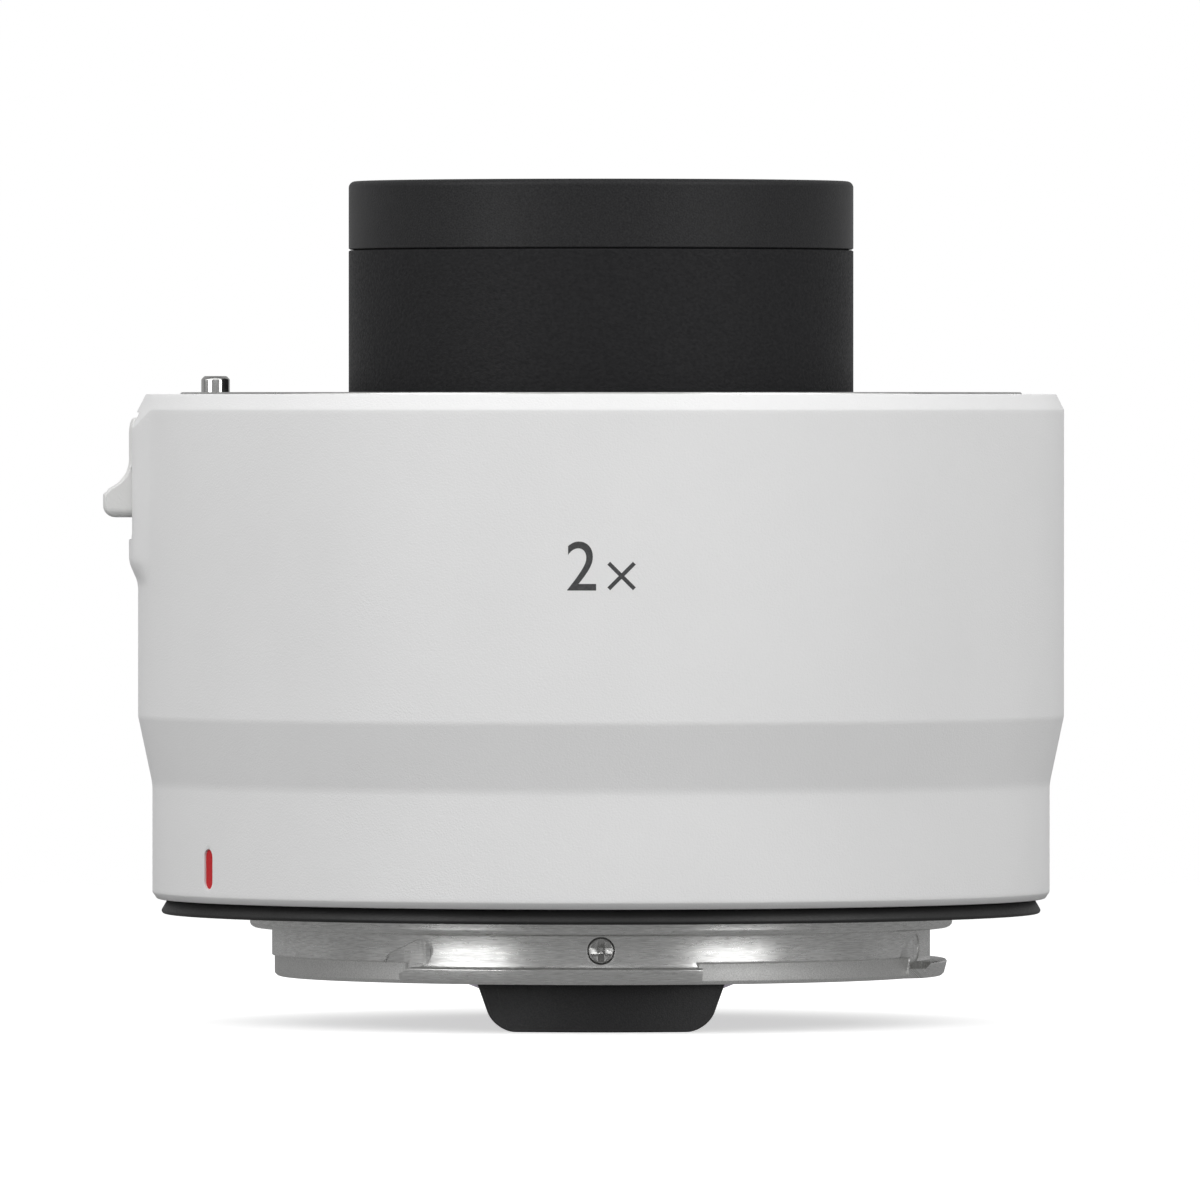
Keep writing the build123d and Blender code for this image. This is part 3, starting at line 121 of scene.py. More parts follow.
from_below = room_side("Z", 0.1, -0.1, 0.15)
from_camera = room_side("Y", 0.1, -0.1, 0.36)
from_behind = room_side("Y", -0.3, 0.5, 0.38)
wall_behind = room_side("Y", -0.1, 0.5, 0.85)
ray = add_node(nodes, "LightPath")
in_gloss = compute(nodes, "MAXIMUM", ray["Is Glossy Ray"], ray["Is Transmission Ray"])[0]
fill = room_light(from_below, from_camera, wall_behind)
seen_in_gloss = room_light(from_below, from_camera, from_behind)
room = add_node(nodes, "MixShader", {0: in_gloss, 1: fill, 2: seen_in_gloss})[0]
room = add_node(nodes, "MixShader", {0: ray["Is Camera Ray"], 1: room, 2: room_light(1)})[0]
add_node(nodes, "OutputWorld", {0: room})
soft_boxes = [
    # name, azimuth from the camera's side, elevation, distance, width, height, watts
    ("left_soft_box", -46, 6, 1.1, 0.50, 0.34, 1.7),
    ("right_soft_box", 46, 6, 1.1, 0.50, 0.34, 1.75),
    ("left_high_box", -52, 36, 1.1, 0.60, 0.60, 3.7),
    ("right_high_box", 54, 36, 1.1, 0.60, 0.60, 3.7),
    ("left_side_box", -82, 25, 1.1, 0.42, 0.60, 0.7),
    ("right_side_box", 84, 25, 1.1, 0.42, 0.60, 0.7),
    ("top_soft_box", 0, 62, 1.2, 1.50, 1.00, 4.0),
    ("front_soft_box", 0, 24, 1.2, 0.50, 0.50, 0.5),
]
for name, azimuth, elevation, distance, width, height, watts in soft_boxes:
    a, e = math.radians(azimuth), math.radians(elevation)
    way = Vector((math.sin(a) * math.cos(e), -math.cos(a) * math.cos(e), math.sin(e)))
    lamp_data = bpy.data.lights.new(name, "AREA")
    lamp_data.shape = "RECTANGLE"
    lamp_data.size, lamp_data.size_y, lamp_data.energy = width, height, watts
    lamp = bpy.data.objects.new(name, lamp_data)
    bpy.context.scene.collection.objects.link(lamp)
    lamp.location = picture_centre + way * distance
    lamp.rotation_euler = (-way).to_track_quat("-Z", "Y").to_euler()


# Floor: a pale sheet under the guard tab that keeps the object's soft shadow and fades into the
# white surround. From below it can be looked through, and the object itself sees a greyer card.
def deselect():
    """Takes every object out of the selection."""
    bpy.ops.object.select_all(action="DESELECT")


floor_radius, fade_start = 0.45, 0.06
paper_colour, paper_glow = (0.80, 0.80, 0.80, 1), 0.58
card_colour, card_glow = (0.12, 0.12, 0.12, 1), 0.26
deselect()
bpy.ops.mesh.primitive_circle_add(vertices=96, radius=floor_radius, fill_type="NGON",
                                  location=(0, 0, cad_box[0].z))
floor = bpy.context.object
floor.name = "floor"
floor_material = bpy.data.materials.new("pale_floor")
floor_material.use_nodes = True
floor.data.materials.append(floor_material)
nodes = floor_material.node_tree.nodes
nodes.clear()
ray = add_node(nodes, "LightPath")
from_middle = compute(nodes, "LENGTH", add_node(nodes, "TexCoord")["Object"], kind="VectorMath")
span = {"From Min": fade_start, "From Max": floor_radius, "Value": from_middle["Value"]}
fade = add_node(nodes, "MapRange", span, interpolation_type="SMOOTHSTEP")[0]
see_through = compute(nodes, "MAXIMUM", fade, add_node(nodes, "NewGeometry")["Backfacing"])[0]
paper = add_node(nodes, "BsdfDiffuse", {"Color": paper_colour})[0]
glow = add_node(nodes, "Emission", {"Strength": paper_glow})[0]
paper = add_node(nodes, "AddShader", {0: paper, 1: glow})[0]
clear = add_node(nodes, "BsdfTransparent")[0]
paper = add_node(nodes, "MixShader", {0: see_through, 1: paper, 2: clear})[0]
card = add_node(nodes, "BsdfDiffuse", {"Color": card_colour})[0]
bright_card = add_node(nodes, "Emission", {"Strength": card_glow})[0]
card = add_node(nodes, "MixShader", {0: ray["Is Glossy Ray"], 1: card, 2: bright_card})[0]
seen = add_node(nodes, "MixShader", {0: ray["Is Camera Ray"], 1: card, 2: paper})[0]
add_node(nodes, "OutputMaterial", {0: seen})


# Outer barrel: a turned aluminium shell in white enamel with a fine grain. It is drawn ring by
# ring, its raised pad is pulled out round the release lever, and the lever's pocket, the slot
# for its stem and the recesses of the two red marks are milled into it.
barrel_low, barrel_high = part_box("outer_barrel")
ring_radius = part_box("lens_mount_ring")[1].x
barrel_inset, foot_step, lip_depth = 0.00001, 0.0011, 0.00225
barrel_radius = barrel_high.x - barrel_inset
barrel_top, barrel_foot = barrel_high.z, barrel_low.z
barrel_low_radius = barrel_radius - foot_step
barrel_wall, low_wall = 0.0016, 0.0014
lip_low = barrel_top - lip_depth
taper_low, taper_high = 0.0093, 0.0144
chamfer_drop, chamfer_width = 0.0012, 0.0006
foot_chamfer, foot_chamfer_width = 0.0005, 0.00035
seat_gap = 0.00005
pad_radius = -barrel_low.x
pad_half_angle, pad_fade_angle = math.radians(8.6), math.radians(15.6)
pad_foot, pad_face = 0.0243, 0.0266
pocket_half_width, pocket_corner = 0.00496, 0.0009
pocket_low, pocket_high = 0.0280, 0.03775
pocket_floor_radius = 0.0352
hair = 1e-6  # leeway when two heights or radii are compared


def use(piece):
    """Selects one piece alone and makes it active."""
    deselect()
    piece.select_set(True)
    bpy.context.view_layer.objects.active = piece


def edit(piece):
    """Selects one piece alone and opens its whole mesh."""
    use(piece)
    bpy.ops.object.mode_set(mode="EDIT")
    bpy.ops.mesh.select_all(action="SELECT")


def weld():
    """Joins the points of the open mesh that lie in one place."""
    bpy.ops.mesh.select_all(action="SELECT")
    bpy.ops.mesh.remove_doubles(threshold=1e-7)


def drawn(name):
    """Names the shape that was just drawn and puts its place and size into its mesh."""
    piece = bpy.context.object
    piece.name = piece.data.name = name
    bpy.ops.object.transform_apply()
    return piece


def face_outward():
    """Turns all faces of the mesh in hand outward and leaves edit mode."""
    bpy.ops.mesh.select_all(action="SELECT")
    bpy.ops.mesh.normals_make_consistent(inside=False)
    bpy.ops.object.mode_set(mode="OBJECT")


def turn(name, outline, steps=256, ring=True):
    """Draws a ring at the first corner, extrudes it from corner to corner and closes it."""
    radius, height = outline[0]
    deselect()
    bpy.ops.mesh.primitive_circle_add(vertices=steps, radius=radius, location=(0, 0, height))
    piece = drawn(name)
    edit(piece)
    for next_radius, next_height in outline[1:] + (outline[:1] if ring else []):
        bpy.ops.mesh.extrude_edges_move(TRANSFORM_OT_translate={"value": (0, 0, next_height - height)})
        growth = next_radius / radius
        bpy.ops.transform.resize(value=(growth, growth, 1), center_override=(0, 0, next_height))
        radius, height = next_radius, next_height
    weld()
    if not ring:
        bpy.ops.mesh.fill_holes(sides=0)
    face_outward()
    return piece


def drill(radius, low, high, steps=64):
    """Plain cylinder on the axis, for cutting a round hole."""
    return turn("drill", [(radius, low), (radius, high)], steps, False)


def rows(start, end, count):
    """Evenly spaced corners from one to the other, without the last."""
    return [(start[0] + (end[0] - start[0]) * i / count, start[1] + (end[1] - start[1]) * i / count)
            for i in range(count)]


def apply_modifier(piece, kind, **settings):
    """Adds a modifier, sets it and applies it."""
    use(piece)
    modifier = piece.modifiers.new(kind.lower(), kind)
    for key, value in settings.items():
        setattr(modifier, key, value)
    bpy.ops.object.modifier_apply(modifier=modifier.name)


def combine(piece, others, operation="DIFFERENCE"):
    """Cuts other shapes from a piece, or joins or keeps what they share, and deletes them."""
    for other in others:
        apply_modifier(piece, "BOOLEAN", operation=operation, solver="EXACT", object=other)
        bpy.data.objects.remove(other)


def soften(piece, width, steps=2, angle=35, smooth_angle=40):
    """Rounds every sharp edge a little and shades the piece smooth between edges."""
    if width:
        apply_modifier(piece, "BEVEL", width=width, segments=steps, limit_method="ANGLE",
                       angle_limit=math.radians(angle), use_clamp_overlap=False,
                       miter_outer="MITER_ARC")
    use(piece)
    bpy.ops.object.shade_smooth_by_angle(angle=math.radians(smooth_angle))
    apply_modifier(piece, "WEIGHTED_NORMAL", keep_sharp=True, weight=80)


def place(piece, x=0, y=0, z=0, about_x=0, about_y=0, about_z=0):
    """Turns and moves a piece that was made at the origin, with its place in its mesh."""
    use(piece)
    for setting, value in (("rotation_euler", (math.radians(about_x), math.radians(about_y), 0)),
                           ("location", (x, y, z)), ("rotation_euler", (0, 0, math.radians(about_z)))):
        setattr(piece, setting, value)
        bpy.ops.object.transform_apply()
    return piece


def fit(piece, slot, material, *nodes_replaced, body="housing"):
    """Gives a finished piece its material, its body and the nodes that it stands for."""
    piece.data.materials.clear()
    piece.data.materials.append(material)
    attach(piece, body)
    if nodes_replaced:
        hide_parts(*nodes_replaced)


def round_edges(piece, picked, radius, steps):
    """Rounds the edges whose two ends pass a test."""
    bpy.ops.object.mode_set(mode="EDIT")
    bpy.ops.mesh.select_mode(type="EDGE")
    mesh = bmesh.from_edit_mesh(piece.data)
    for edge in mesh.edges:
        edge.select_set(picked(edge.verts[0].co, edge.verts[1].co))
    bmesh.update_edit_mesh(piece.data)
    bpy.ops.mesh.bevel(offset=radius, segments=steps, affect="EDGES")
    bpy.ops.object.mode_set(mode="OBJECT")


def block(name, size, corner=0, corner_axis="X", corner_steps=5):
    """Box about the origin whose edges along one axis may be rounded."""
    deselect()
    bpy.ops.mesh.primitive_cube_add(size=1)
    bpy.context.object.scale = size
    piece = drawn(name)
    if corner:
        axis = "XYZ".index(corner_axis)
        round_edges(piece, lambda a, b: abs(a[axis] - b[axis]) > size[axis] / 2, corner, corner_steps)
    return piece


def smooth_step(share):
    """Rises from 0 to 1 with level ends."""
    share = max(0, min(1, share))
    return share * share * (3 - 2 * share)


wall_row = (barrel_radius, barrel_top - chamfer_drop)
chamfer_row = (barrel_radius - chamfer_width, barrel_top)
barrel = turn("barrel_shell", [
    (barrel_low_radius - low_wall, barrel_foot),
    (barrel_low_radius - foot_chamfer_width, barrel_foot),
    (barrel_low_radius, barrel_foot + foot_chamfer),
    *rows((barrel_low_radius, barrel_foot + foot_chamfer + 0.0003),
          (barrel_low_radius, taper_low - 0.0004), 6),
    (barrel_low_radius, taper_low - 0.0004),
    (barrel_low_radius + 0.00002, taper_low - 0.0001),
    (barrel_low_radius + 0.00008, taper_low + 0.0003),
    (barrel_radius - 0.00005, taper_high - 0.00023),
    (barrel_radius, taper_high),
    *rows((barrel_radius, taper_high + 0.0002), (barrel_radius, pad_foot), 8),
    *rows((barrel_radius, pad_foot), wall_row, 38),
    *rows(wall_row, chamfer_row, 6),
    chamfer_row,
    (ring_radius + seat_gap, barrel_top),
    (ring_radius + seat_gap, lip_low),
    (barrel_radius - barrel_wall, lip_low),
    (barrel_radius - barrel_wall, taper_high),
    (barrel_low_radius - low_wall, taper_low),
], steps=480)

# The pad: points near the lever's side move out, and the top chamfer dips where it meets them.
slope = chamfer_width / chamfer_drop
for vertex in barrel.data.vertices:
    x, y, z = vertex.co
    radius, angle = math.hypot(x, y), math.atan2(y, -x)
    on_lip = radius < barrel_radius - chamfer_width - hair
    if on_lip or z <= pad_foot - hair or abs(angle) > pad_fade_angle:
        continue
    reach = smooth_step((pad_fade_angle - abs(angle)) / (pad_fade_angle - pad_half_angle))
    outer = barrel_radius + (pad_radius - barrel_radius) * reach
    crease = barrel_top - (outer - barrel_radius + chamfer_width) / slope
    if z <= wall_row[1] + 1e-7:
        share = max(0, (z - pocket_low) / (wall_row[1] - pocket_low))
        z -= (wall_row[1] - crease) * share
        rise = smooth_step((z - pad_foot) / (pad_face - pad_foot))
        radius = barrel_radius + (outer - barrel_radius) * rise
    else:
        z = crease + (z - wall_row[1]) / chamfer_drop * (barrel_top - crease)
        radius = barrel_radius - chamfer_width + (barrel_top - z) * slope
    vertex.co = (-radius * math.cos(angle), radius * math.sin(angle), z)

pocket = block("pocket", (0.008, 2 * pocket_half_width, pocket_high - pocket_low), pocket_corner, "X")
place(pocket, x=-pad_radius - 0.001, z=(pocket_low + pocket_high) / 2)
combine(pocket, [drill(pocket_floor_radius, 0.02, 0.045, 480)])
stem_slot = place(block("stem_slot", (0.008, 0.0022, 0.0060)), x=-barrel_radius, z=0.0328)
combine(barrel, [pocket, stem_slot])

side_mark_low, side_mark_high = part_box("camera_index_mark")
front_mark_low, front_mark_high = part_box("lens_index_mark")
mark_angle, mark_z = -60, (side_mark_low.z + side_mark_high.z) / 2
front_mark_y = (front_mark_low.y + front_mark_high.y) / 2
front_mark_length = front_mark_high.y - front_mark_low.y
cut_width, cut_length, cut_depth, cut_gap = 0.00125, 0.00305, 0.0009, 0.00005
cut_round = cut_width / 2 - 1e-5
mark_cut = block("mark_cut", (cut_width, cut_depth, cut_length), cut_round, "Y", 8)
place(mark_cut, y=-barrel_low_radius, z=mark_z, about_z=mark_angle)
front_cut = block("front_cut", (cut_width, front_mark_length + cut_gap, cut_depth), cut_round, "Z", 8)
place(front_cut, y=front_mark_y, z=barrel_top)
combine(barrel, [mark_cut, front_cut])
soften(barrel, 0.00007, 2, 24)


def object_point(nodes):
    """Texture coordinates in the object's own space."""
    return add_node(nodes, "TexCoord")["Object"]


def open_group(name, numbers, outputs):
    """New shader node group with its nodes, its given numbers and its output node."""
    group = bpy.data.node_groups.new(name, "ShaderNodeTree")
    for label, value in numbers.items():
        socket = group.interface.new_socket(name=label, in_out="INPUT", socket_type="NodeSocketFloat")
        socket.default_value = value
    for label in outputs:
        group.interface.new_socket(name=label, in_out="OUTPUT", socket_type="NodeSocketFloat")
    nodes = group.nodes
    return group, nodes, nodes.new("NodeGroupInput").outputs, nodes.new("NodeGroupOutput")


def add_noise(nodes, point, scale, detail, **others):
    """Value of a noise texture at a point."""
    return add_node(nodes, "TexNoise", {"Vector": point, "Scale": scale, "Detail": detail, **others})[0]


# Grain: fine bumps of paint or moulded plastic. Size is their width, Flatten squashes them along Z.
grain, nodes, given, result = open_group(
    "grain", {"Size": 0.0003, "Flatten": 1.0, "Warp": 0.0}, ["Height", "Shade"])
squash = add_node(nodes, "CombineXYZ", {"X": 1, "Y": 1, "Z": given["Flatten"]})[0]
point = object_point(nodes)
squashed = compute(nodes, "MULTIPLY", point, squash, kind="VectorMath")[0]
scale = compute(nodes, "DIVIDE", 1, given["Size"])[0]
bumps = add_noise(nodes, squashed, scale, 2, Roughness=0.55, Distortion=given["Warp"])
feed(result, {"Height": bumps, "Shade": add_noise(nodes, point, 90, 3)})


def new_material(name, inputs={}):
    """New material with its nodes and its Principled shader."""
    material = bpy.data.materials.new(name)
    material.use_nodes = True
    nodes = material.node_tree.nodes
    feed(nodes["Principled BSDF"], inputs)
    return material, nodes, nodes["Principled BSDF"]


def raised(nodes, height, distance, inputs={}):
    """Normal of a surface that is raised by a height."""
    return add_node(nodes, "Bump", {"Height": height, "Distance": distance, **inputs})[0]


def spread(nodes, value, low, high):
    """Maps a noise mask, which lies between 0.3 and 0.7, onto a range of values."""
    span = {"From Min": 0.3, "From Max": 0.7, "To Min": low, "To Max": high, "Value": value}
    return add_node(nodes, "MapRange", span)[0]


def blend(nodes, mask, first, second):
    """Mixes two colours by a mask."""
    return add_node(nodes, "Mix", {"Factor": mask, "A": (*first, 1), "B": (*second, 1)},
                    data_type="RGBA")["Result"]


def marked(name, group, numbers, colours, gloss, depth, metallic=0, specular=0.5):
    """Material whose marks blend two colours, spread the roughness and raise the surface.

    Colours and gloss name the mask they follow first. A gloss of one number is even."""
    material, nodes, shader = new_material(name)
    marks = add_node(nodes, "Group", numbers, node_tree=group)
    mask, *pair = colours
    if isinstance(gloss, tuple):
        gloss = spread(nodes, marks[gloss[0]], *gloss[1:])
    feed(shader, {"Base Color": blend(nodes, spread(nodes, marks[mask], 0, 1), *pair), "Roughness": gloss,
                  "Metallic": metallic, "Specular IOR Level": specular,
                  "Normal": raised(nodes, marks["Height"], depth)})
    return material


enamel = marked(
    "white_enamel", grain, {"Size": 0.00014}, ("Shade", (0.79, 0.79, 0.79), (0.81, 0.81, 0.81)),
    ("Shade", 0.45, 0.52), 0.00002, specular=0.35)
fit(barrel, "barrel_white", enamel, "outer_barrel")


# Index marks: two recesses filled with red enamel, a long one near the barrel's foot that meets
# the camera's mark, and a short one on the front face that meets the lens's.
red_enamel = marked(
    "red_enamel", grain, {"Size": 0.00018}, ("Shade", (0.54, 0.003, 0.008), (0.62, 0.004, 0.010)),
    ("Height", 0.32, 0.46), 0.000008, specular=0.4)
mark_width, mark_length, mark_slab, mark_round, mark_sink = 0.0012, 0.0030, 0.0003, 0.00059, 0.00015
camera_mark = block("camera_mark", (mark_width, mark_slab, mark_length), mark_round, "Y", 8)
place(camera_mark, y=-(barrel_low_radius - mark_sink - mark_slab / 2), z=mark_z, about_z=mark_angle)
lens_mark = block("lens_mark", (mark_width, front_mark_length, mark_slab), mark_round, "Z", 8)
place(lens_mark, y=front_mark_y, z=front_mark_high.z - mark_slab / 2)
for mark, node in ((camera_mark, "camera_index_mark"), (lens_mark, "lens_index_mark")):
    soften(mark, 0.00004)
    fit(mark, "index_red", red_enamel, node)


# Magnification figure: a dark grey 2 and a cross, pad printed on the near side of the barrel.
# Each is a thin layer of ink wrapped round the wall.
figure_height, figure_width, figure_middle, figure_foot = 0.00368, 0.00218, -0.00146, 0.02440
cross_size, cross_stroke, cross_middle = 0.00218, 0.00030, 0.00154
ink_thickness, ink_root = 0.000008, 0.0002
print_grey = marked(
    "printed_ink", grain, {"Size": 0.00024, "Flatten": 1.1, "Warp": 0.3},
    ("Height", (0.050, 0.050, 0.052), (0.078, 0.078, 0.080)), 0.5, 0.00002, specular=0.3)


def wrap_on_wall(piece, radius, slices=12, slice_width=0.00025):
    """Slices a flat figure upright and bends it round the barrel, its front at a radius."""
    edit(piece)
    for i in range(-slices, slices + 1):
        bpy.ops.mesh.select_all(action="SELECT")
        bpy.ops.mesh.bisect(plane_co=(i * slice_width, 0, 0), plane_no=(1, 0, 0))
    bpy.ops.object.mode_set(mode="OBJECT")
    for vertex in piece.data.vertices:
        x, y, z = vertex.co
        depth, angle = radius - y, x / radius
        vertex.co = (depth * math.sin(angle), -depth * math.cos(angle), z)


deselect()
bpy.ops.object.text_add()
figure = bpy.context.object
figure.data.body = "2"
figure.data.size = 0.005
figure.data.resolution_u = 8
figure.data.extrude = ink_root / 2
bpy.ops.object.convert(target="MESH")
figure.rotation_euler = (math.radians(90), 0, 0)
figure = drawn("printed_figure")
corners = [vertex.co for vertex in figure.data.vertices]
low_corner, high_corner = (Vector([end(corner[i] for corner in corners) for i in range(3)])
                           for end in (min, max))
for vertex in figure.data.vertices:
    share = [(vertex.co[i] - low_corner[i]) / (high_corner[i] - low_corner[i]) for i in range(3)]
    vertex.co = (figure_middle + (share[0] - 0.5) * figure_width, share[1] * ink_root,
                 figure_foot + share[2] * figure_height)
edit(figure)
weld()
bpy.ops.object.mode_set(mode="OBJECT")
cross, second = (place(block("printed_cross", (cross_stroke, ink_root, cross_size * 1.25)), about_y=lean)
                 for lean in (-45, 45))
combine(cross, [second], "UNION")
combine(cross, [block("cross_trim", (cross_size, 2 * ink_root, cross_size))], "INTERSECT")
place(cross, x=cross_middle, y=ink_root / 2, z=figure_foot + cross_size / 2)
for printed in (figure, cross):
    wrap_on_wall(printed, barrel_radius + ink_thickness)
    soften(printed, 0)
    fit(printed, "barrel_white", print_grey)


# Release lever: a moulded white plate in the barrel's pocket, with a thumb hook at its lower end
# and a stem that goes through the wall. It slides down to free the lens.
lever_low, lever_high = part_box("release_lever")
lever_face, lever_hook = pad_radius, -lever_low.x
lever_half_width = 0.00475
lever_back = pocket_floor_radius + 0.0001
hook_round, hook_height, hook_edge_round = 0.0009, 0.0019, 0.00022
lever_foot, lever_top = lever_low.z, lever_high.z


def plate_from_side(name, outline, half_width, steps):
    """Draws a side view as one face and extrudes it across its width."""
    deselect()
    bpy.ops.mesh.primitive_circle_add(vertices=len(outline), radius=0.01, fill_type="NGON",
                                      location=(0, 0, 0), rotation=(math.radians(90), 0, 0))
    piece = drawn(name)
    for vertex, (x, z) in zip(piece.data.vertices, outline):
        vertex.co = (x, -half_width, z)
    bpy.ops.object.mode_set(mode="EDIT")
    for _ in range(steps):
        bpy.ops.mesh.select_all(action="DESELECT")
        bpy.ops.mesh.select_mode(type="FACE")
        mesh = bmesh.from_edit_mesh(piece.data)
        front = max(mesh.faces, key=lambda face: (len(face.verts), face.calc_center_median().y))
        front.select_set(True)
        bmesh.update_edit_mesh(piece.data)
        step = (0, 2 * half_width / steps, 0)
        bpy.ops.mesh.extrude_region_move(TRANSFORM_OT_translate={"value": step})
    face_outward()
    return piece


def round_corner(corner, way_in, way_out, radius, steps=6):
    """Points of a quarter round between two ways, each a unit step of x and z."""
    centre = [corner[i] - way_in[i] * radius + way_out[i] * radius for i in range(2)]
    angles = [math.pi / 2 * step / steps for step in range(steps + 1)]
    return [tuple(centre[i] - way_out[i] * radius * math.cos(a) + way_in[i] * radius * math.sin(a)
                  for i in range(2)) for a in angles]


lever_outline = [
    (lever_back, lever_foot),
    *round_corner((lever_hook, lever_foot), (1, 0), (0, 1), hook_round),
    *round_corner((lever_hook, lever_foot + hook_height), (0, 1), (-1, 0), hook_edge_round, 4),
    (0.03785, 0.03190), (0.03740, 0.03215), (0.03708, 0.03240), (0.03688, 0.03262), (0.03669, 0.03285),
    (0.03655, 0.03306), (0.03645, 0.03330), (0.03635, 0.03362), (lever_face, 0.03400),
    (lever_face, 0.03505), (lever_face, 0.03620), (0.03627, 0.03652), (0.03622, 0.03683),
    (0.03614, 0.03711), (0.03603, 0.03728), (0.03588, lever_top), (lever_back, lever_top)]
lever = plate_from_side("thumb_lever", lever_outline, lever_half_width, 24)
lever_trim = block("lever_trim", (0.02, 2 * lever_half_width, lever_top - lever_foot),
                   pocket_corner - 0.0002, "X")
combine(lever, [place(lever_trim, x=0.036, z=(lever_top + lever_foot) / 2)], "INTERSECT")
for vertex in lever.data.vertices:
    x, y, z = vertex.co
    vertex.co = (-math.sqrt(x * x - y * y), y, z)
combine(lever, [place(block("lever_stem", (0.0018, 0.0020, 0.0043)), x=-0.0348, z=0.03355)], "UNION")
soften(lever, 0.00010, 3, 32)
lever_enamel = marked(
    "lever_enamel", grain, {"Size": 0.00024, "Warp": 0.3},
    ("Shade", (0.78, 0.78, 0.77), (0.81, 0.81, 0.80)), ("Shade", 0.40, 0.50), 0.000015, specular=0.35)
fit(lever, "barrel_white", lever_enamel, "release_lever", body="lever")


# Lens-side bayonet: a turned steel ring with three inward tabs, set in the barrel's front face
# and held by four countersunk screws. Its flange face carries fine turning lines.
lens_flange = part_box("lens_mount_ring")[1].z


def from_mm(*corners):
    """Corners of an outline given in millimetres."""
    return [(radius / 1000, height / 1000) for radius, height in corners]


def band(inner, outer, low, high):
    """Outline of a plain band, given in millimetres."""
    return from_mm((inner, low), (outer, low), (outer, high), (inner, high))


def arc(name, outline, start, end, steps=480):
    """Turns a ring and keeps the part from one angle to another, counted from the near side."""
    piece = turn(name, outline, steps)
    bpy.ops.object.mode_set(mode="EDIT")
    for angle, way in ((start, 1), (end, -1)):
        a = math.radians(angle)
        bpy.ops.mesh.select_all(action="SELECT")
        bpy.ops.mesh.bisect(plane_co=(0, 0, 0), plane_no=(way * math.cos(a), way * math.sin(a), 0),
                            clear_inner=True, use_fill=True)
    face_outward()
    return piece


def copy_of(piece, name):
    """Copy with its own mesh."""
    twin = piece.copy()
    twin.data = piece.data.copy()
    twin.name = twin.data.name = name
    bpy.context.scene.collection.objects.link(twin)
    return twin


def around(piece, angles, **where):
    """Copies a piece to several angles round the optical axis and deletes the first one."""
    copies = [place(copy_of(piece, piece.name), about_z=angle, **where) for angle in angles]
    bpy.data.objects.remove(piece)
    return copies


def join(pieces, name):
    """Makes several pieces one object."""
    use(pieces[0])
    for piece in pieces:
        piece.select_set(True)
    bpy.ops.object.join()
    pieces[0].name = pieces[0].data.name = name
    return pieces[0]


# Turned lines: lathe marks round the optical axis, fine rings across a face, ragged along their
# length. Pitch is their distance.
turned_lines, nodes, given, result = open_group(
    "turned_lines", {"Pitch": 0.0001, "Raggedness": 5.0}, ["Height", "Streak", "Shade"])
point = object_point(nodes)
axes = add_node(nodes, "SeparateXYZ", {0: point})
flat = add_node(nodes, "CombineXYZ", {"X": axes["X"], "Y": axes["Y"]})[0]
outward = compute(nodes, "NORMALIZE", flat, kind="VectorMath")[0]
distance = compute(nodes, "LENGTH", flat, kind="VectorMath")["Value"]
along = compute(nodes, "ADD", distance, axes["Z"])[0]
across = compute(nodes, "DIVIDE", along, given["Pitch"])[0]
ragged = add_node(nodes, "VectorMath", {0: outward, "Scale": given["Raggedness"]}, operation="SCALE")[0]
rise = add_node(nodes, "CombineXYZ", {"Z": across})[0]
line_point = compute(nodes, "ADD", ragged, rise, kind="VectorMath")[0]
wide_point = compute(nodes, "MULTIPLY", line_point, (0.5, 0.5, 0.35), kind="VectorMath")[0]
feed(result, {"Height": add_noise(nodes, line_point, 1, 2.5), "Streak": add_noise(nodes, wide_point, 1, 2),
              "Shade": add_noise(nodes, point, 160, 4)})


def turned_steel(name, dull, bright, rough_range, pitch, depth):
    """Lathe-turned steel: rings in height, colour and gloss, and a highlight drawn across them."""
    steel = marked(name, turned_lines, {"Pitch": pitch, "Raggedness": 28}, ("Height", dull, bright),
                   ("Streak", *rough_range), depth, metallic=1)
    nodes = steel.node_tree.nodes
    feed(nodes["Principled BSDF"], {
        "Anisotropic": 0.45, "Anisotropic Rotation": 0.25,
        "Tangent": add_node(nodes, "Tangent", direction_type="RADIAL", axis="Z")[0]})
    return steel


ring_steel = turned_steel("lens_side_steel", (0.58, 0.58, 0.57), (0.72, 0.72, 0.71), (0.26, 0.36),
                          0.00009, 0.0000006)
lens_ring = turn("lens_side_ring", from_mm(
    (27.05, 33.4), (28.2, 33.4), (28.2, 37.1), (32.35, 37.1), (32.35, 39.2), (32.25, 39.3), (29.7, 39.3),
    (27.3, 39.3), (27.05, 39.05), (27.05, 36.0)), 480)
tab_outline = from_mm((25.5, 35.5), (25.75, 35.25), (27.6, 35.25), (27.6, 37.3), (25.75, 37.3), (25.5, 37.05))
lens_tab_spans = ((-33, 15), (79, 127), (-167, -114))
combine(lens_ring, [arc("ring_tab", tab_outline, *span) for span in lens_tab_spans], "UNION")
screw_angles, screw_circle, pin_x = (45, 135, -135, -45), 0.0299, -0.02964
seat = turn("screw_seat", from_mm((1.55, 1), (1.55, 0), (0.85, -0.95), (0.85, -4)), 64, False)
combine(lens_ring, around(seat, screw_angles, y=-screw_circle, z=lens_flange)
        + [place(drill(0.00115, 0.030, 0.042), x=pin_x)])
soften(lens_ring, 0.00006, 2, 30)
fit(lens_ring, "ring_steel", ring_steel, "lens_mount_ring")


# Mount screws: eight countersunk steel screws with cross recesses, four in each flange, their
# heads flush with it.
screw_steel = marked(
    "screw_steel", grain, {"Size": 0.00012, "Warp": 0.6},
    ("Shade", (0.46, 0.46, 0.45), (0.58, 0.58, 0.57)), ("Height", 0.22, 0.38), 0.000003, metallic=1)


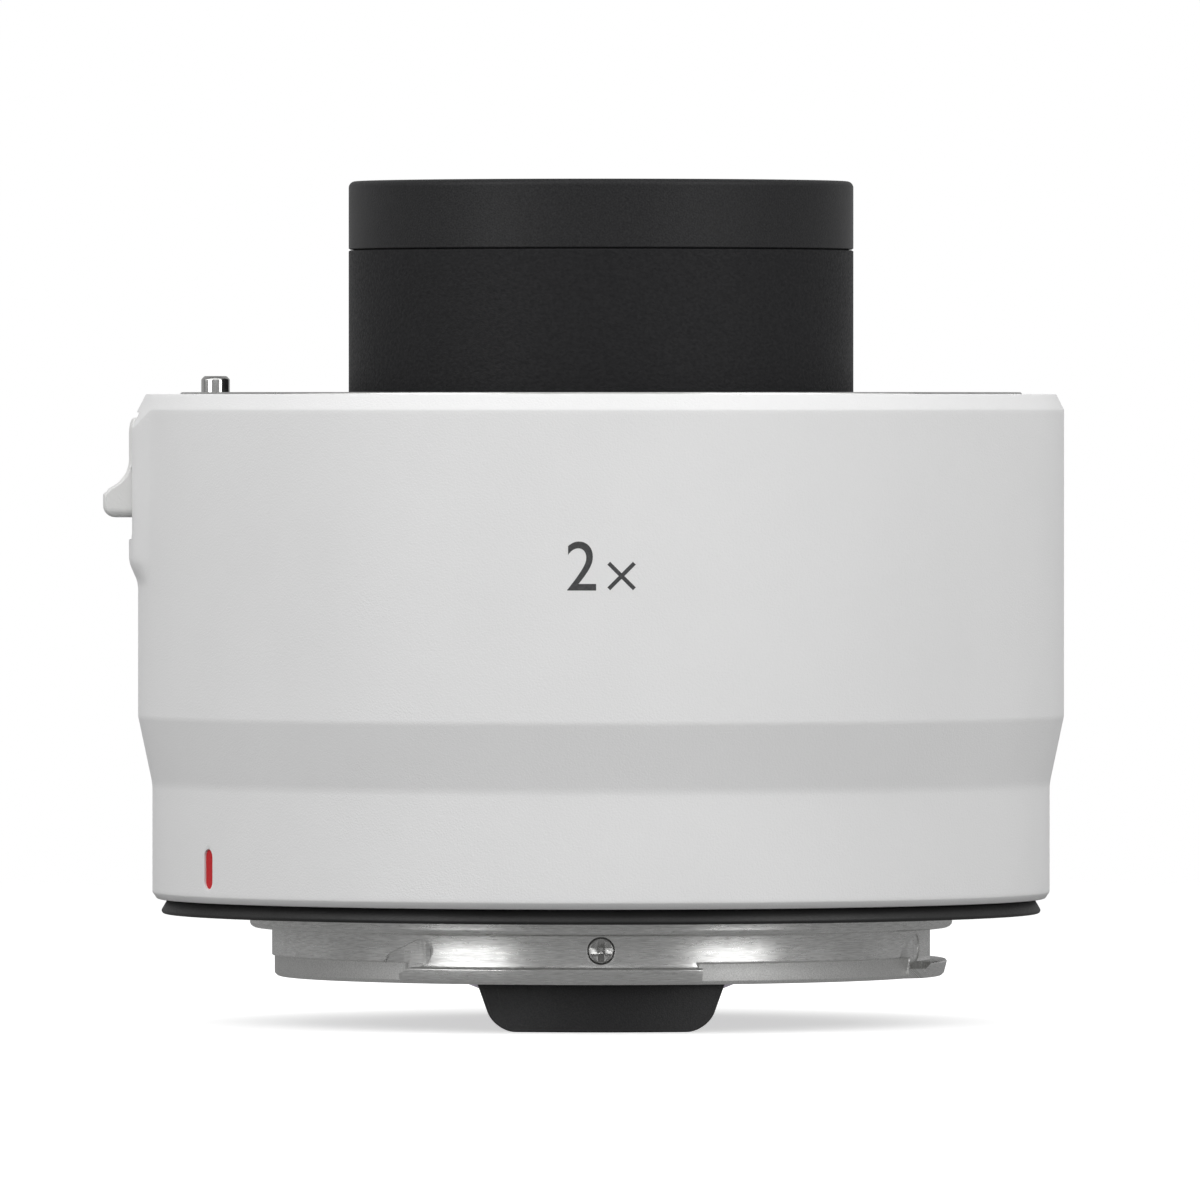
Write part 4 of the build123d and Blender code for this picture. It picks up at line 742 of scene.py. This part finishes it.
def cross_screw(name, outline, recess_reach, recess_width, recess_depth):
    """Screw that stands on its shank along Z with its head's face at zero, cut by a cross recess."""
    screw = turn(name, outline, 96, False)
    arm = block("recess_arm", (4 * recess_reach, recess_width, 2 * recess_depth))
    for vertex in arm.data.vertices:
        if vertex.co.z < 0:
            vertex.co.x *= 0.02  # an arm slopes down to the middle
    combine(screw, around(arm, (0, 90)))
    return screw


flange_screw = cross_screw("flange_screw", from_mm(
    (1.38, 0), (1.49, -0.04), (1.5, -0.12), (0.8, -0.9), (0.8, -5)), 0.00092, 0.00036, 0.0006)
soften(flange_screw, 0.00003, 2, 30)
back_screw_circle = 0.0297
lens_screws, camera_screws = [], []
for number, angle in enumerate(screw_angles, start=1):
    front_screw = place(copy_of(flange_screw, "front_screw"), about_z=25 * number)
    lens_screws.append(place(front_screw, y=-screw_circle, z=lens_flange, about_z=angle))
    back_screw = place(copy_of(flange_screw, "back_screw"), about_x=180, about_z=17 + 31 * number)
    camera_screws.append(place(back_screw, y=-back_screw_circle, about_z=angle))
bpy.data.objects.remove(flange_screw)
fit(join(lens_screws, "front_flange_screws"), "screw_steel", screw_steel, "lens_mount_screws")
fit(join(camera_screws, "back_flange_screws"), "screw_steel", screw_steel, "camera_mount_screws")


# Leaf springs and stop screw: three thin blued springs under the tabs press on a lens's lugs, and
# a radial screw through the skirt ends its turn.
spring_steel = marked(
    "spring_steel", turned_lines, {"Pitch": 0.00012},
    ("Streak", (0.34, 0.34, 0.36), (0.50, 0.50, 0.50)), ("Shade", 0.22, 0.40), 0.000001, metallic=1)
leaf_outline = band(25.75, 26.85, 34.95, 35.15)
leaves = [arc("leaf", leaf_outline, start + 4, end - 4, 240) for start, end in lens_tab_spans]
leaf_springs = join(leaves, "leaf_springs")
soften(leaf_springs, 0.00004, 2)
fit(leaf_springs, "spring_steel", spring_steel, "mount_leaf_springs")
stop_screw = turn("stop_screw", from_mm(
    (0.45, 25.9), (0.6, 26.05), (0.6, 28.25), (1.0, 28.25), (1.0, 28.85)), 48, False)
place(place(stop_screw, about_x=90), z=0.0344, about_z=-38.2)
soften(stop_screw, 0.00005)
fit(stop_screw, "screw_steel", screw_steel, "bayonet_stop_screw")


# Lock pin: a ground and polished steel pin with a chamfered tip that stands out of the flange
# beside the lever and drops with it. A collar under the slide's bracket takes its spring.
pin_low, pin_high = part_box("lock_pin")
pin_steel = marked(
    "polished_pin_steel", grain, {"Size": 0.00010, "Flatten": 6},
    ("Shade", (0.60, 0.60, 0.59), (0.70, 0.70, 0.69)), ("Height", 0.10, 0.20), 0.000001, metallic=1)
pin_top = pin_high.z * 1000
lock_pin = turn("lock_pin_steel", from_mm(
    (0.78, pin_top), (0.85, pin_top), (1.1, pin_top - 0.25), (1.1, pin_top - 2.4), (1.1, 33.15), (1.4, 33.15),
    (1.4, 32.15), (0.8, 32.15), (0.8, pin_low.z * 1000)), 96, False)
place(lock_pin, x=(pin_low.x + pin_high.x) / 2)
soften(lock_pin, 0.00007, 3, 25)
fit(lock_pin, "pin_steel", pin_steel, "lock_pin", body="lock_pin")


# Throat liner: a moulded matt black ring that closes the throat's floor round the nose and lines
# its wall, with a window for the contact carrier. It is clamped under the nose's foot.
moulded_black = marked(
    "moulded_black", grain, {"Size": 0.00011, "Warp": 0.4},
    ("Height", (0.013, 0.013, 0.014), (0.028, 0.028, 0.029)), ("Shade", 0.44, 0.60), 0.000014,
    specular=0.4)
liner = turn("throat_liner_ring", from_mm(
    (19.5, 28.0), (26.5, 28.0), (26.5, 27.0), (27.9, 27.0), (27.9, 33.35), (27.1, 33.35), (27.1, 29.3),
    (26.95, 28.95), (26.6, 28.8), (26.0, 28.8), (25.95, 28.72), (25.75, 28.72), (25.7, 28.8),
    (19.5, 28.8)), 384)
combine(liner, [arc("carrier_window", band(20.2, 24.9, 27.5, 29.5), 156.4, 203.6, 384)])
soften(liner, 0.00006, 2, 30)
fit(liner, "baffle_black", moulded_black, "throat_liner")


# Contact carrier: a moulded black block on the throat's floor that guides twelve sprung contacts.
carrier = arc("carrier_block", band(20.3, 24.8, 27.9, 29.6), 156.5, 203.5, 384)
carrier_foot = arc("carrier_foot", band(19.7, 25.4, 27.0, 27.95), 153.5, 206.5, 384)
pin_circle, pin_pitch, pin_count = 0.0213, 3.4, 12
pin_angles = [180 + pin_pitch * (i - (pin_count - 1) / 2) for i in range(pin_count)]
soften(carrier, 0.00012, 3, 40)
well = turn("pin_well", from_mm((0.56, 30), (0.56, 29.55), (0.4, 29.35), (0.4, 27.5)), 40, False)
combine(carrier, around(well, pin_angles, y=-pin_circle))
soften(carrier, 0, smooth_angle=30)
soften(carrier_foot, 0.00012, 3, 40)
carrier = join([carrier, carrier_foot], "carrier_block")
fit(carrier, "baffle_black", moulded_black, "contact_carrier")


# Contact pins: twelve gold-plated plungers with rounded tips, which a lens's pads press down.
gold = marked(
    "contact_gold", grain, {"Size": 0.00008, "Warp": 0.5},
    ("Shade", (0.74, 0.49, 0.18), (0.86, 0.62, 0.28)), ("Height", 0.18, 0.34), 0.000002, metallic=1)
tip_height, tip_radius, tip_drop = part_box("contact_pins")[1].z, 0.00035, 0.00020
quarter = [math.pi / 2 * i / 8 for i in range(1, 9)]
plunger = turn("plunger", [(1e-8, tip_height)] + [
    (tip_radius * math.sin(a), tip_height - tip_drop * (1 - math.cos(a))) for a in quarter] + [
    (tip_radius, 0.0283), (0.00045, 0.0283), (0.00045, 0.02795)], 32, False)
soften(plunger, 0, smooth_angle=35)
plungers = join(around(plunger, pin_angles, y=-pin_circle), "contact_plungers")
fit(plungers, "contact_gold", gold, "contact_pins", body="contact_pins")


# Nose barrel: a black tube that reaches into the lens, on a flange screwed to the frame's deck.
# Its outside is coated with a leathery wrinkle finish over a finer speckle.
wrinkle = marked(
    "wrinkle_black", grain, {"Size": 0.00030, "Flatten": 1.35, "Warp": 0.4},
    ("Height", (0.015, 0.015, 0.016), (0.022, 0.022, 0.023)), ("Height", 0.58, 0.44), 0.00005,
    specular=0.08)
nodes = wrinkle.node_tree.nodes
normal = nodes["Principled BSDF"].inputs["Normal"]
speckle = add_node(nodes, "Group", {"Size": 0.00012}, node_tree=grain)["Height"]
feed(nodes["Principled BSDF"], {
    "Normal": raised(nodes, speckle, 0.00001, {"Normal": normal.links[0].from_socket})})
nose = turn("nose_tube", from_mm(
    (14.55, 27.0), (22.6, 27.0), (22.6, 28.0), (19.4, 28.0), (19.4, 40.0), (19.4, 50.125), (19.28, 50.2),
    (18.7, 50.2), (18.7, 52.5), (17.8, 52.5), (17.8, 29.0), (14.55, 29.0)), 384)
combine(nose, [arc("carrier_notch", band(19.4, 23.5, 26.5, 28.0), 153.4, 206.6, 384)])
soften(nose, 0.00003, 2, 30)
fit(nose, "nose_black", wrinkle, "nose_barrel")


# Front ring: a finer grained black ring screwed over the nose's end, its front edge rounded and
# its mouth sloping down to the lip that covers the front glass's rim.
fine_black = marked(
    "fine_black", grain, {"Size": 0.00013}, ("Height", (0.016, 0.016, 0.017), (0.028, 0.028, 0.029)),
    ("Shade", 0.38, 0.48), 0.000022, specular=0.13)
nose_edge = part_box("nose_front_ring")[1]
edge_round = 0.0005
front_ring = turn("front_ring_black", from_mm((18.75, 50.25), (19.28, 50.25), (19.4, 50.33)) + [
    (nose_edge.x - edge_round * (1 - math.cos(a)), nose_edge.z - edge_round * (1 - math.sin(a)))
    for a in [0, *quarter]] + from_mm(
    (18.15, 55.5), (17.85, 55.2), (17.6, 55.1), (16.9, 54.6), (16.85, 54.5), (16.3, 54.15), (16.25, 54.05),
    (15.7, 53.72), (15.65, 53.62), (15.1, 53.28), (14.9, 53.15), (14.9, 52.55), (18.75, 52.55)), 384)
soften(front_ring, 0.00003, 2, 30)
fit(front_ring, "nose_ring_black", fine_black, "nose_front_ring")


# Glasses: nine coated lenses in five groups, ground to spheres and polished. The front one looks
# out of the nose and the rear one is a dome that stands out of the camera side.
coated_glass, nodes, shader = new_material("coated_glass", {
    "Base Color": (1, 1, 1, 1), "Transmission Weight": 1, "IOR": 1.52,
    "Coat Weight": 1, "Coat Roughness": 0, "Coat IOR": 1.35,
    "Coat Tint": (0.93, 0.90, 0.97, 1), "Specular Tint": (0.62, 0.30, 0.85, 1)})
dust = add_node(nodes, "Group", {"Size": 0.0009}, node_tree=grain)["Shade"]
feed(shader, {"Roughness": spread(nodes, dust, 0, 0.012)})
purple_glass = coated_glass.copy()
purple_glass.name = "purple_coated_glass"
feed(purple_glass.node_tree.nodes["Principled BSDF"], {"Base Color": (0.38, 0.16, 0.48, 1)})
glass_sizes = [
    # radius, front vertex, back vertex, front bulge, back bulge, in millimetres
    (15.4, 52.60, 49.000, 1.548, 0.936),
    (14.4, 46.40, 44.180, -0.888, 2.146),
    (14.4, 44.16, 39.000, 2.146, -2.146),
    (11.6, 34.00, 32.425, -1.155, 2.310),
    (11.6, 32.405, 26.125, 2.310, -2.310),
    (11.6, 26.105, 23.500, -2.310, 0.5775),
    (11.6, 17.50, 12.300, 2.320, -1.760),
    (11.6, 12.28, 9.500, -1.760, 1.760),
    (15.0, -0.80, -8.300, 1.800, -4.7625),
]


def ground_face(radius, vertex, bulge, steps=24):
    """Points of a spherical face from its pole to its edge, in metres."""
    curve = (radius ** 2 + bulge ** 2) / (2 * abs(bulge))
    widest = math.asin(radius / curve)
    points = []
    for i in range(steps + 1):
        a = widest * i / steps
        drop = math.copysign(curve * (1 - math.cos(a)), bulge)
        points.append((max(curve * math.sin(a) / 1000, 1e-8), (vertex - drop) / 1000))
    return points


for number, (radius, front, back, front_bulge, back_bulge) in enumerate(glass_sizes, start=1):
    outline = ground_face(radius, front, front_bulge) + ground_face(radius, back, back_bulge)[::-1]
    glass = turn(f"lens_{number}", outline, 192, False)
    soften(glass, 0, smooth_angle=35)
    coating = purple_glass if number == len(glass_sizes) else coated_glass
    fit(glass, "coated_glass", coating, f"glass_{number}")


# Lens cells and retainers: turned aluminium, dull black anodised, with fine turning rings that
# stop stray light. Threaded retaining rings with spanner slots hold the glass.
anodised = marked(
    "black_anodised", turned_lines, {"Pitch": 0.00022, "Raggedness": 3},
    ("Streak", (0.010, 0.010, 0.011), (0.022, 0.022, 0.023)), ("Shade", 0.36, 0.50), 0.000006,
    specular=0.45)
retainers = [
    # piece, node, radius, outer face, inner face, in millimetres
    ("front_retainer", "front_retaining_ring", 15.4, 52.286, 51.286),
    ("rear_retainer", "rear_retaining_ring", 15.0, -5.337, -4.337),
    ("middle_top_retainer", "middle_upper_retainer", 11.6,
     *(corner.z * 1000 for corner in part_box("middle_upper_retainer")[::-1])),
]
for name, node, radius, face, back in retainers:
    way = 1 if face > back else -1
    ring = turn(name, from_mm((radius - 1.2, back), (radius - 1.2, face - way * 0.25), (radius - 0.95, face),
                              (radius - 0.1, face), (radius, face - way * 0.1), (radius, back)), 256)
    combine(ring, [place(block("spanner_slot", (0.04, 0.0010, 0.0010)), z=face / 1000)])
    soften(ring, 0.00005)
    fit(ring, "cell_black", anodised, node)
strip_y, strip_width, strip_thickness = 0.02055, 0.0106, 0.0008
rear_cell_ring = turn("rear_cell_body", from_mm(
    (15.05, -5.337), (15.2, -5.337), (16.75, -5.337), (16.95, -5.137), (16.95, 4.0), (28.8, 4.0), (28.8, 5.2),
    (13.85, 5.2), (13.85, -2.319), (15.05, -2.319)), 256)
strip_slot = place(block("strip_slot", (strip_width, strip_thickness, 0.004)), y=strip_y, z=0.0046)
combine(rear_cell_ring, [strip_slot] + around(drill(0.00055, 0.003, 0.006, 32), (75, 0, -75), y=-0.0270))
soften(rear_cell_ring, 0.00005, 2, 30)
fit(rear_cell_ring, "cell_black", anodised, "rear_lens_cell")


# Camera-side bayonet: a turned steel flange, a spigot that centres it, and a neck with three
# lugs. Each lug's leading end is cleared by one slanting pass of an end mill into the neck.
mount_steel = turned_steel("camera_side_steel", (0.60, 0.60, 0.59), (0.88, 0.88, 0.87), (0.25, 0.34),
                           0.00006, 0.0000009)
gap_radius, gap_top = 0.0251, -0.0039
# The turned gaps between the lugs are blasted: matt and a little grainy.
nodes = mount_steel.node_tree.nodes
point = object_point(nodes)
flat = compute(nodes, "MULTIPLY", point, (1, 1, 0), kind="VectorMath")[0]
distance = compute(nodes, "LENGTH", flat, kind="VectorMath")["Value"]
height = add_node(nodes, "SeparateXYZ", {0: point})["Z"]
inside_gap = compute(nodes, "LESS_THAN", distance, gap_radius + 0.00004)[0]
under_neck = compute(nodes, "LESS_THAN", height, gap_top - 0.00002)[0]
blasted = compute(nodes, "MULTIPLY", inside_gap, under_neck)[0]
blast_grain = add_node(nodes, "Group", {"Size": 0.00009}, node_tree=grain)["Height"]
blast_colour = blend(nodes, spread(nodes, blast_grain, 0, 1), (0.62, 0.62, 0.61), (0.86, 0.86, 0.85))
shader = nodes["Principled BSDF"]
for plug, kind, value in (("Base Color", "RGBA", blast_colour), ("Roughness", "FLOAT", 0.55)):
    turned = shader.inputs[plug].links[0].from_socket
    mixed = add_node(nodes, "Mix", data_type=kind)["Result"]
    feed(mixed.node, {"Factor": blasted, "A": turned, "B": value})
    feed(shader, {plug: mixed})
mount_ring = turn("bayonet_ring", from_mm(
    (23.6, -5.4), (23.75, -5.55), (24.7, -5.55), (26.15, -5.5), (26.38, -5.28), (26.6, -4.40), (26.5, -4.25),
    (25.3, -4.25), (25.3, -3.9), (25.3, -3.8), (25.3, -3.0), (25.3, -1.86), (25.36, -1.8), (26.62, -1.8),
    (26.82, -1.70), (26.95, -1.56), (27.0, -1.40), (27.0, 0.0), (29.0, 0.0), (32.4, 0.0), (32.4, 1.8),
    (23.6, 1.8)), 480)
# Between the lugs the neck's foot is turned back to the bottom of the gaps. The end walls of a
# lug stand upright where two rows of points come together.
lug_spans = ((-35.5, 17.0), (69.5, 130), (190, 248))
gap_rows = {26.15: (24.88, -5.5), 26.38: (25.1, -5.28), 26.6: (25.1, -4.8), 26.5: (25.1, -4.5),
            25.3: (25.1, -3.97)}
foot_radius, end_reach, end_width = 0.0252, 0.75, 0.12
for vertex in mount_ring.data.vertices:
    x, y, z = vertex.co
    radius, angle = math.hypot(x, y), math.degrees(math.atan2(x, -y)) % 360
    if z > gap_top - hair or radius < foot_radius:
        continue
    in_lug = False
    for start, end in lug_spans:
        for edge in (start, end):
            off = (angle - edge + 180) % 360 - 180
            if abs(off) < end_reach:
                angle = edge + math.copysign(end_width, off)
        in_lug = in_lug or 0 < (angle - start) % 360 < end - start
    if not in_lug:
        radius, z = from_mm(gap_rows[round(radius * 1000, 2)])[0]
    vertex.co = (radius * math.sin(math.radians(angle)), -radius * math.cos(math.radians(angle)), z)
mill_radius, mill_length, mill_slant, mill_floor = 0.00100, 0.0046, 23, 0.02521
mill_y, mill_z, mill_offset = -0.0263, -0.00368, 2.85
mill_stop = drill(mill_floor, -0.009, 0.001, 333)
mount_cuts = []
for start, end in lug_spans:
    mill = block("mill_pass", (mill_length, 0.0030, 2 * mill_radius), mill_radius - hair, "Y", 12)
    place(mill, x=mill_radius - mill_length / 2, about_y=-mill_slant)
    place(mill, y=mill_y, z=mill_z, about_z=start + mill_offset)
    combine(mill, [copy_of(mill_stop, "mill_floor")])
    mount_cuts.append(mill)
bpy.data.objects.remove(mill_stop)
seat = turn("screw_seat", from_mm((1.55, -1), (1.55, 0), (0.85, 0.95), (0.85, 3)), 64, False)
mount_cuts += around(seat, screw_angles, y=-back_screw_circle)
side_angles, side_height = (0, 165, -165), -0.00294
room = turn("side_screw_room", from_mm((0.65, 23.0), (0.65, 24.6), (1.04, 24.6), (1.04, 26.2)), 64, False)
mount_cuts += around(place(room, about_x=90), side_angles, z=side_height)
mount_cuts.append(place(drill(0.0012, -0.001, 0.003), x=pin_x))
combine(mount_ring, mount_cuts)
soften(mount_ring, 0.00004, 2, 12, 30)
fit(mount_ring, "mount_steel", mount_steel, "camera_mount_ring")


# Side screws: three small radial screws through the neck that hold the baffle, their heads flush
# with it. Each arm of the cross recess slopes down to the middle.
side_screw = cross_screw("side_screw", from_mm(
    (0.86, 0), (0.93, -0.03), (0.95, -0.09), (0.95, -0.7), (0.6, -0.7), (0.6, -2.8)),
    0.00088, 0.00052, 0.00038)
soften(side_screw, 0.00002, 2, 20)
side_screws = around(place(side_screw, about_x=90), side_angles, y=-0.0253, z=side_height)
fit(join(side_screws, "side_screw_set"), "screw_steel", screw_steel, "baffle_side_screws")


# Seal: a moulded rubber ring round the flange, whose thin lip flares out under the barrel's foot
# and presses on the camera.
rubber = marked(
    "seal_rubber", grain, {"Size": 0.00016, "Warp": 0.2},
    ("Shade", (0.012, 0.012, 0.012), (0.024, 0.024, 0.024)), ("Height", 0.46, 0.62), 0.000012,
    specular=0.4)
seal = turn("rubber_seal", from_mm(
    (32.45, 1.8), (32.45, -0.2), (32.6, -0.28), (33.45, -0.72), (33.6, -0.75), (33.73, -0.68), (33.8, -0.52),
    (33.76, -0.40), (33.4, 0.22), (33.3, 0.3), (33.05, 0.3), (33.05, 1.8)), 384)
soften(seal, 0.00005, 2, 25)
fit(seal, "seal_rubber", rubber, "mount_seal")


# Rear baffle: a moulded black plate round the rear glass, held by the side screws, with a guard
# tab on the near side that keeps the rear glass off a table.
tab_root, tab_foot = -0.0044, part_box("rear_baffle")[0].z
tab_outer, tab_inner = 0.0230, 0.0213
tab_root_half, tab_foot_half, tab_corner = 0.00981, 0.00807, 0.0016


def tapered_tab(name, root_half, foot_half, inner, outer, corner, root_extra=0.0004):
    """Curved plate on the near side that narrows downwards, its lower corners rounded."""
    depth, front_room, over = 0.006, 0.0015, 0.001
    slope = (root_half - foot_half) / (tab_root - tab_foot)
    plate = block(name, (2, depth, tab_root - tab_foot + root_extra))
    for vertex in plate.data.vertices:
        upper = vertex.co.z > 0
        vertex.co.x *= root_half + slope * root_extra if upper else foot_half
        vertex.co.z = tab_root + root_extra if upper else tab_foot
        vertex.co.y += -outer + front_room
    use(plate)
    round_edges(plate, lambda a, b: abs(a.y - b.y) > depth / 2 and max(a.z, b.z) < tab_foot + 1e-5,
                corner, 12)
    low, high = tab_foot - over, tab_root + over
    curve = turn("tab_curve", [(inner, low), (outer, low), (outer, high), (inner, high)], 120)
    combine(plate, [curve], "INTERSECT")
    return plate


baffle = turn("baffle_plate", from_mm(
    (17.05, -4.4), (17.3, -4.4), (20.6, -4.4), (20.7, -4.3), (20.9, -4.3), (21.0, -4.4), (23.5, -4.4),
    (23.5, -1.2), (22.0, -1.2), (22.0, -3.4), (17.05, -3.4)), 384)
tab = tapered_tab("guard_tab", tab_root_half, tab_foot_half, tab_inner, tab_outer, tab_corner)
combine(baffle, [tab], "UNION")
baffle_hole = place(drill(0.00065, 0.0220, 0.0240, 32), about_x=90)
strip_gap = block("strip_gap", (strip_width, strip_thickness, 0.003))
combine(baffle, around(baffle_hole, side_angles, z=side_height) + [place(strip_gap, y=strip_y, z=-0.0039)])
soften(baffle, 0.00010, 3, 32)
fit(baffle, "baffle_black", moulded_black, "rear_baffle")


# Rear contacts: a moulded black block on the far side, with twelve gold-plated pads set a little
# below its foot, which the camera's pins touch.
contact_block = tapered_tab("contact_block", 0.0090, 0.0084, 0.0196, 0.0232, 0.0009, 0)
place(contact_block, about_z=180)
soften(contact_block, 0.00015, 3, 35)
pad_width, pad_length, pad_thickness, pad_gap = 0.00085, 0.0020, 0.0004, 0.00012
pad_room = block("pad_room", (pad_width + pad_gap, pad_length + pad_gap, 0.001), 0.0002, "Z", 3)
combine(contact_block, around(pad_room, pin_angles, y=-pin_circle, z=tab_foot))
soften(contact_block, 0, smooth_angle=30)
fit(contact_block, "baffle_black", moulded_black, "rear_contact_block")
pad = block("pad", (pad_width, pad_length, pad_thickness), 0.00014, "Z", 3)
pad_z = tab_foot + pad_gap + pad_thickness / 2
gold_pads = join(around(pad, pin_angles, y=-pin_circle, z=pad_z), "gold_pads")
soften(gold_pads, 0.00004, 2)
fit(gold_pads, "contact_gold", gold, "rear_contact_pads")


# Inner pieces: the cast frame, the circuit board with its chips and strips, the slide and its
# screws, springs and small screws keep their solids' shapes and get their real finishes.
cast_alloy = marked(
    "cast_alloy", grain, {"Size": 0.00040, "Warp": 0.5},
    ("Shade", (0.24, 0.24, 0.25), (0.38, 0.38, 0.39)), ("Height", 0.42, 0.62), 0.00003, metallic=1)
chip_black = marked(
    "chip_black", grain, {"Size": 0.00010}, ("Height", (0.012, 0.012, 0.013), (0.026, 0.026, 0.027)),
    0.55, 0.00001, specular=0.4)
board_green, nodes, shader = new_material("board_green", {"Roughness": 0.35})
cloth = add_node(nodes, "TexBrick", {
    "Scale": 900, "Mortar Size": 0.03, "Color1": (0.008, 0.070, 0.028, 1), "Color2": (0.012, 0.095, 0.040, 1),
    "Mortar": (0.020, 0.130, 0.055, 1), "Vector": object_point(nodes)})
feed(shader, {"Base Color": cloth["Color"], "Normal": raised(nodes, cloth["Fac"], 0.00001)})
strip_amber, nodes, shader = new_material("strip_amber", {"Roughness": 0.3})
tracks = add_node(nodes, "TexWave", {"Scale": 300, "Vector": object_point(nodes)}, bands_direction="X")["Fac"]
feed(shader, {"Base Color": blend(nodes, tracks, (0.36, 0.12, 0.014), (0.60, 0.30, 0.08)),
              "Normal": raised(nodes, tracks, 0.00001)})
kept_finishes = [
    (cast_alloy, ["inner_frame"]), (board_green, ["circuit_board"]), (chip_black, ["board_chips"]),
    (strip_amber, ["rear_contact_strip", "front_contact_strip"]),
    (anodised, ["front_lens_cell", "front_spacer", "middle_lens_cell", "middle_lower_retainer"]),
    (spring_steel, ["lever_slide", "contact_springs", "lock_pin_spring"]),
    (screw_steel, ["lever_screws", "nose_foot_screws", "middle_cell_screws", "rear_cell_screws",
                   "board_screws"]),
]
for material, names in kept_finishes:
    for name in names:
        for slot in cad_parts[name].material_slots:
            slot.material = material
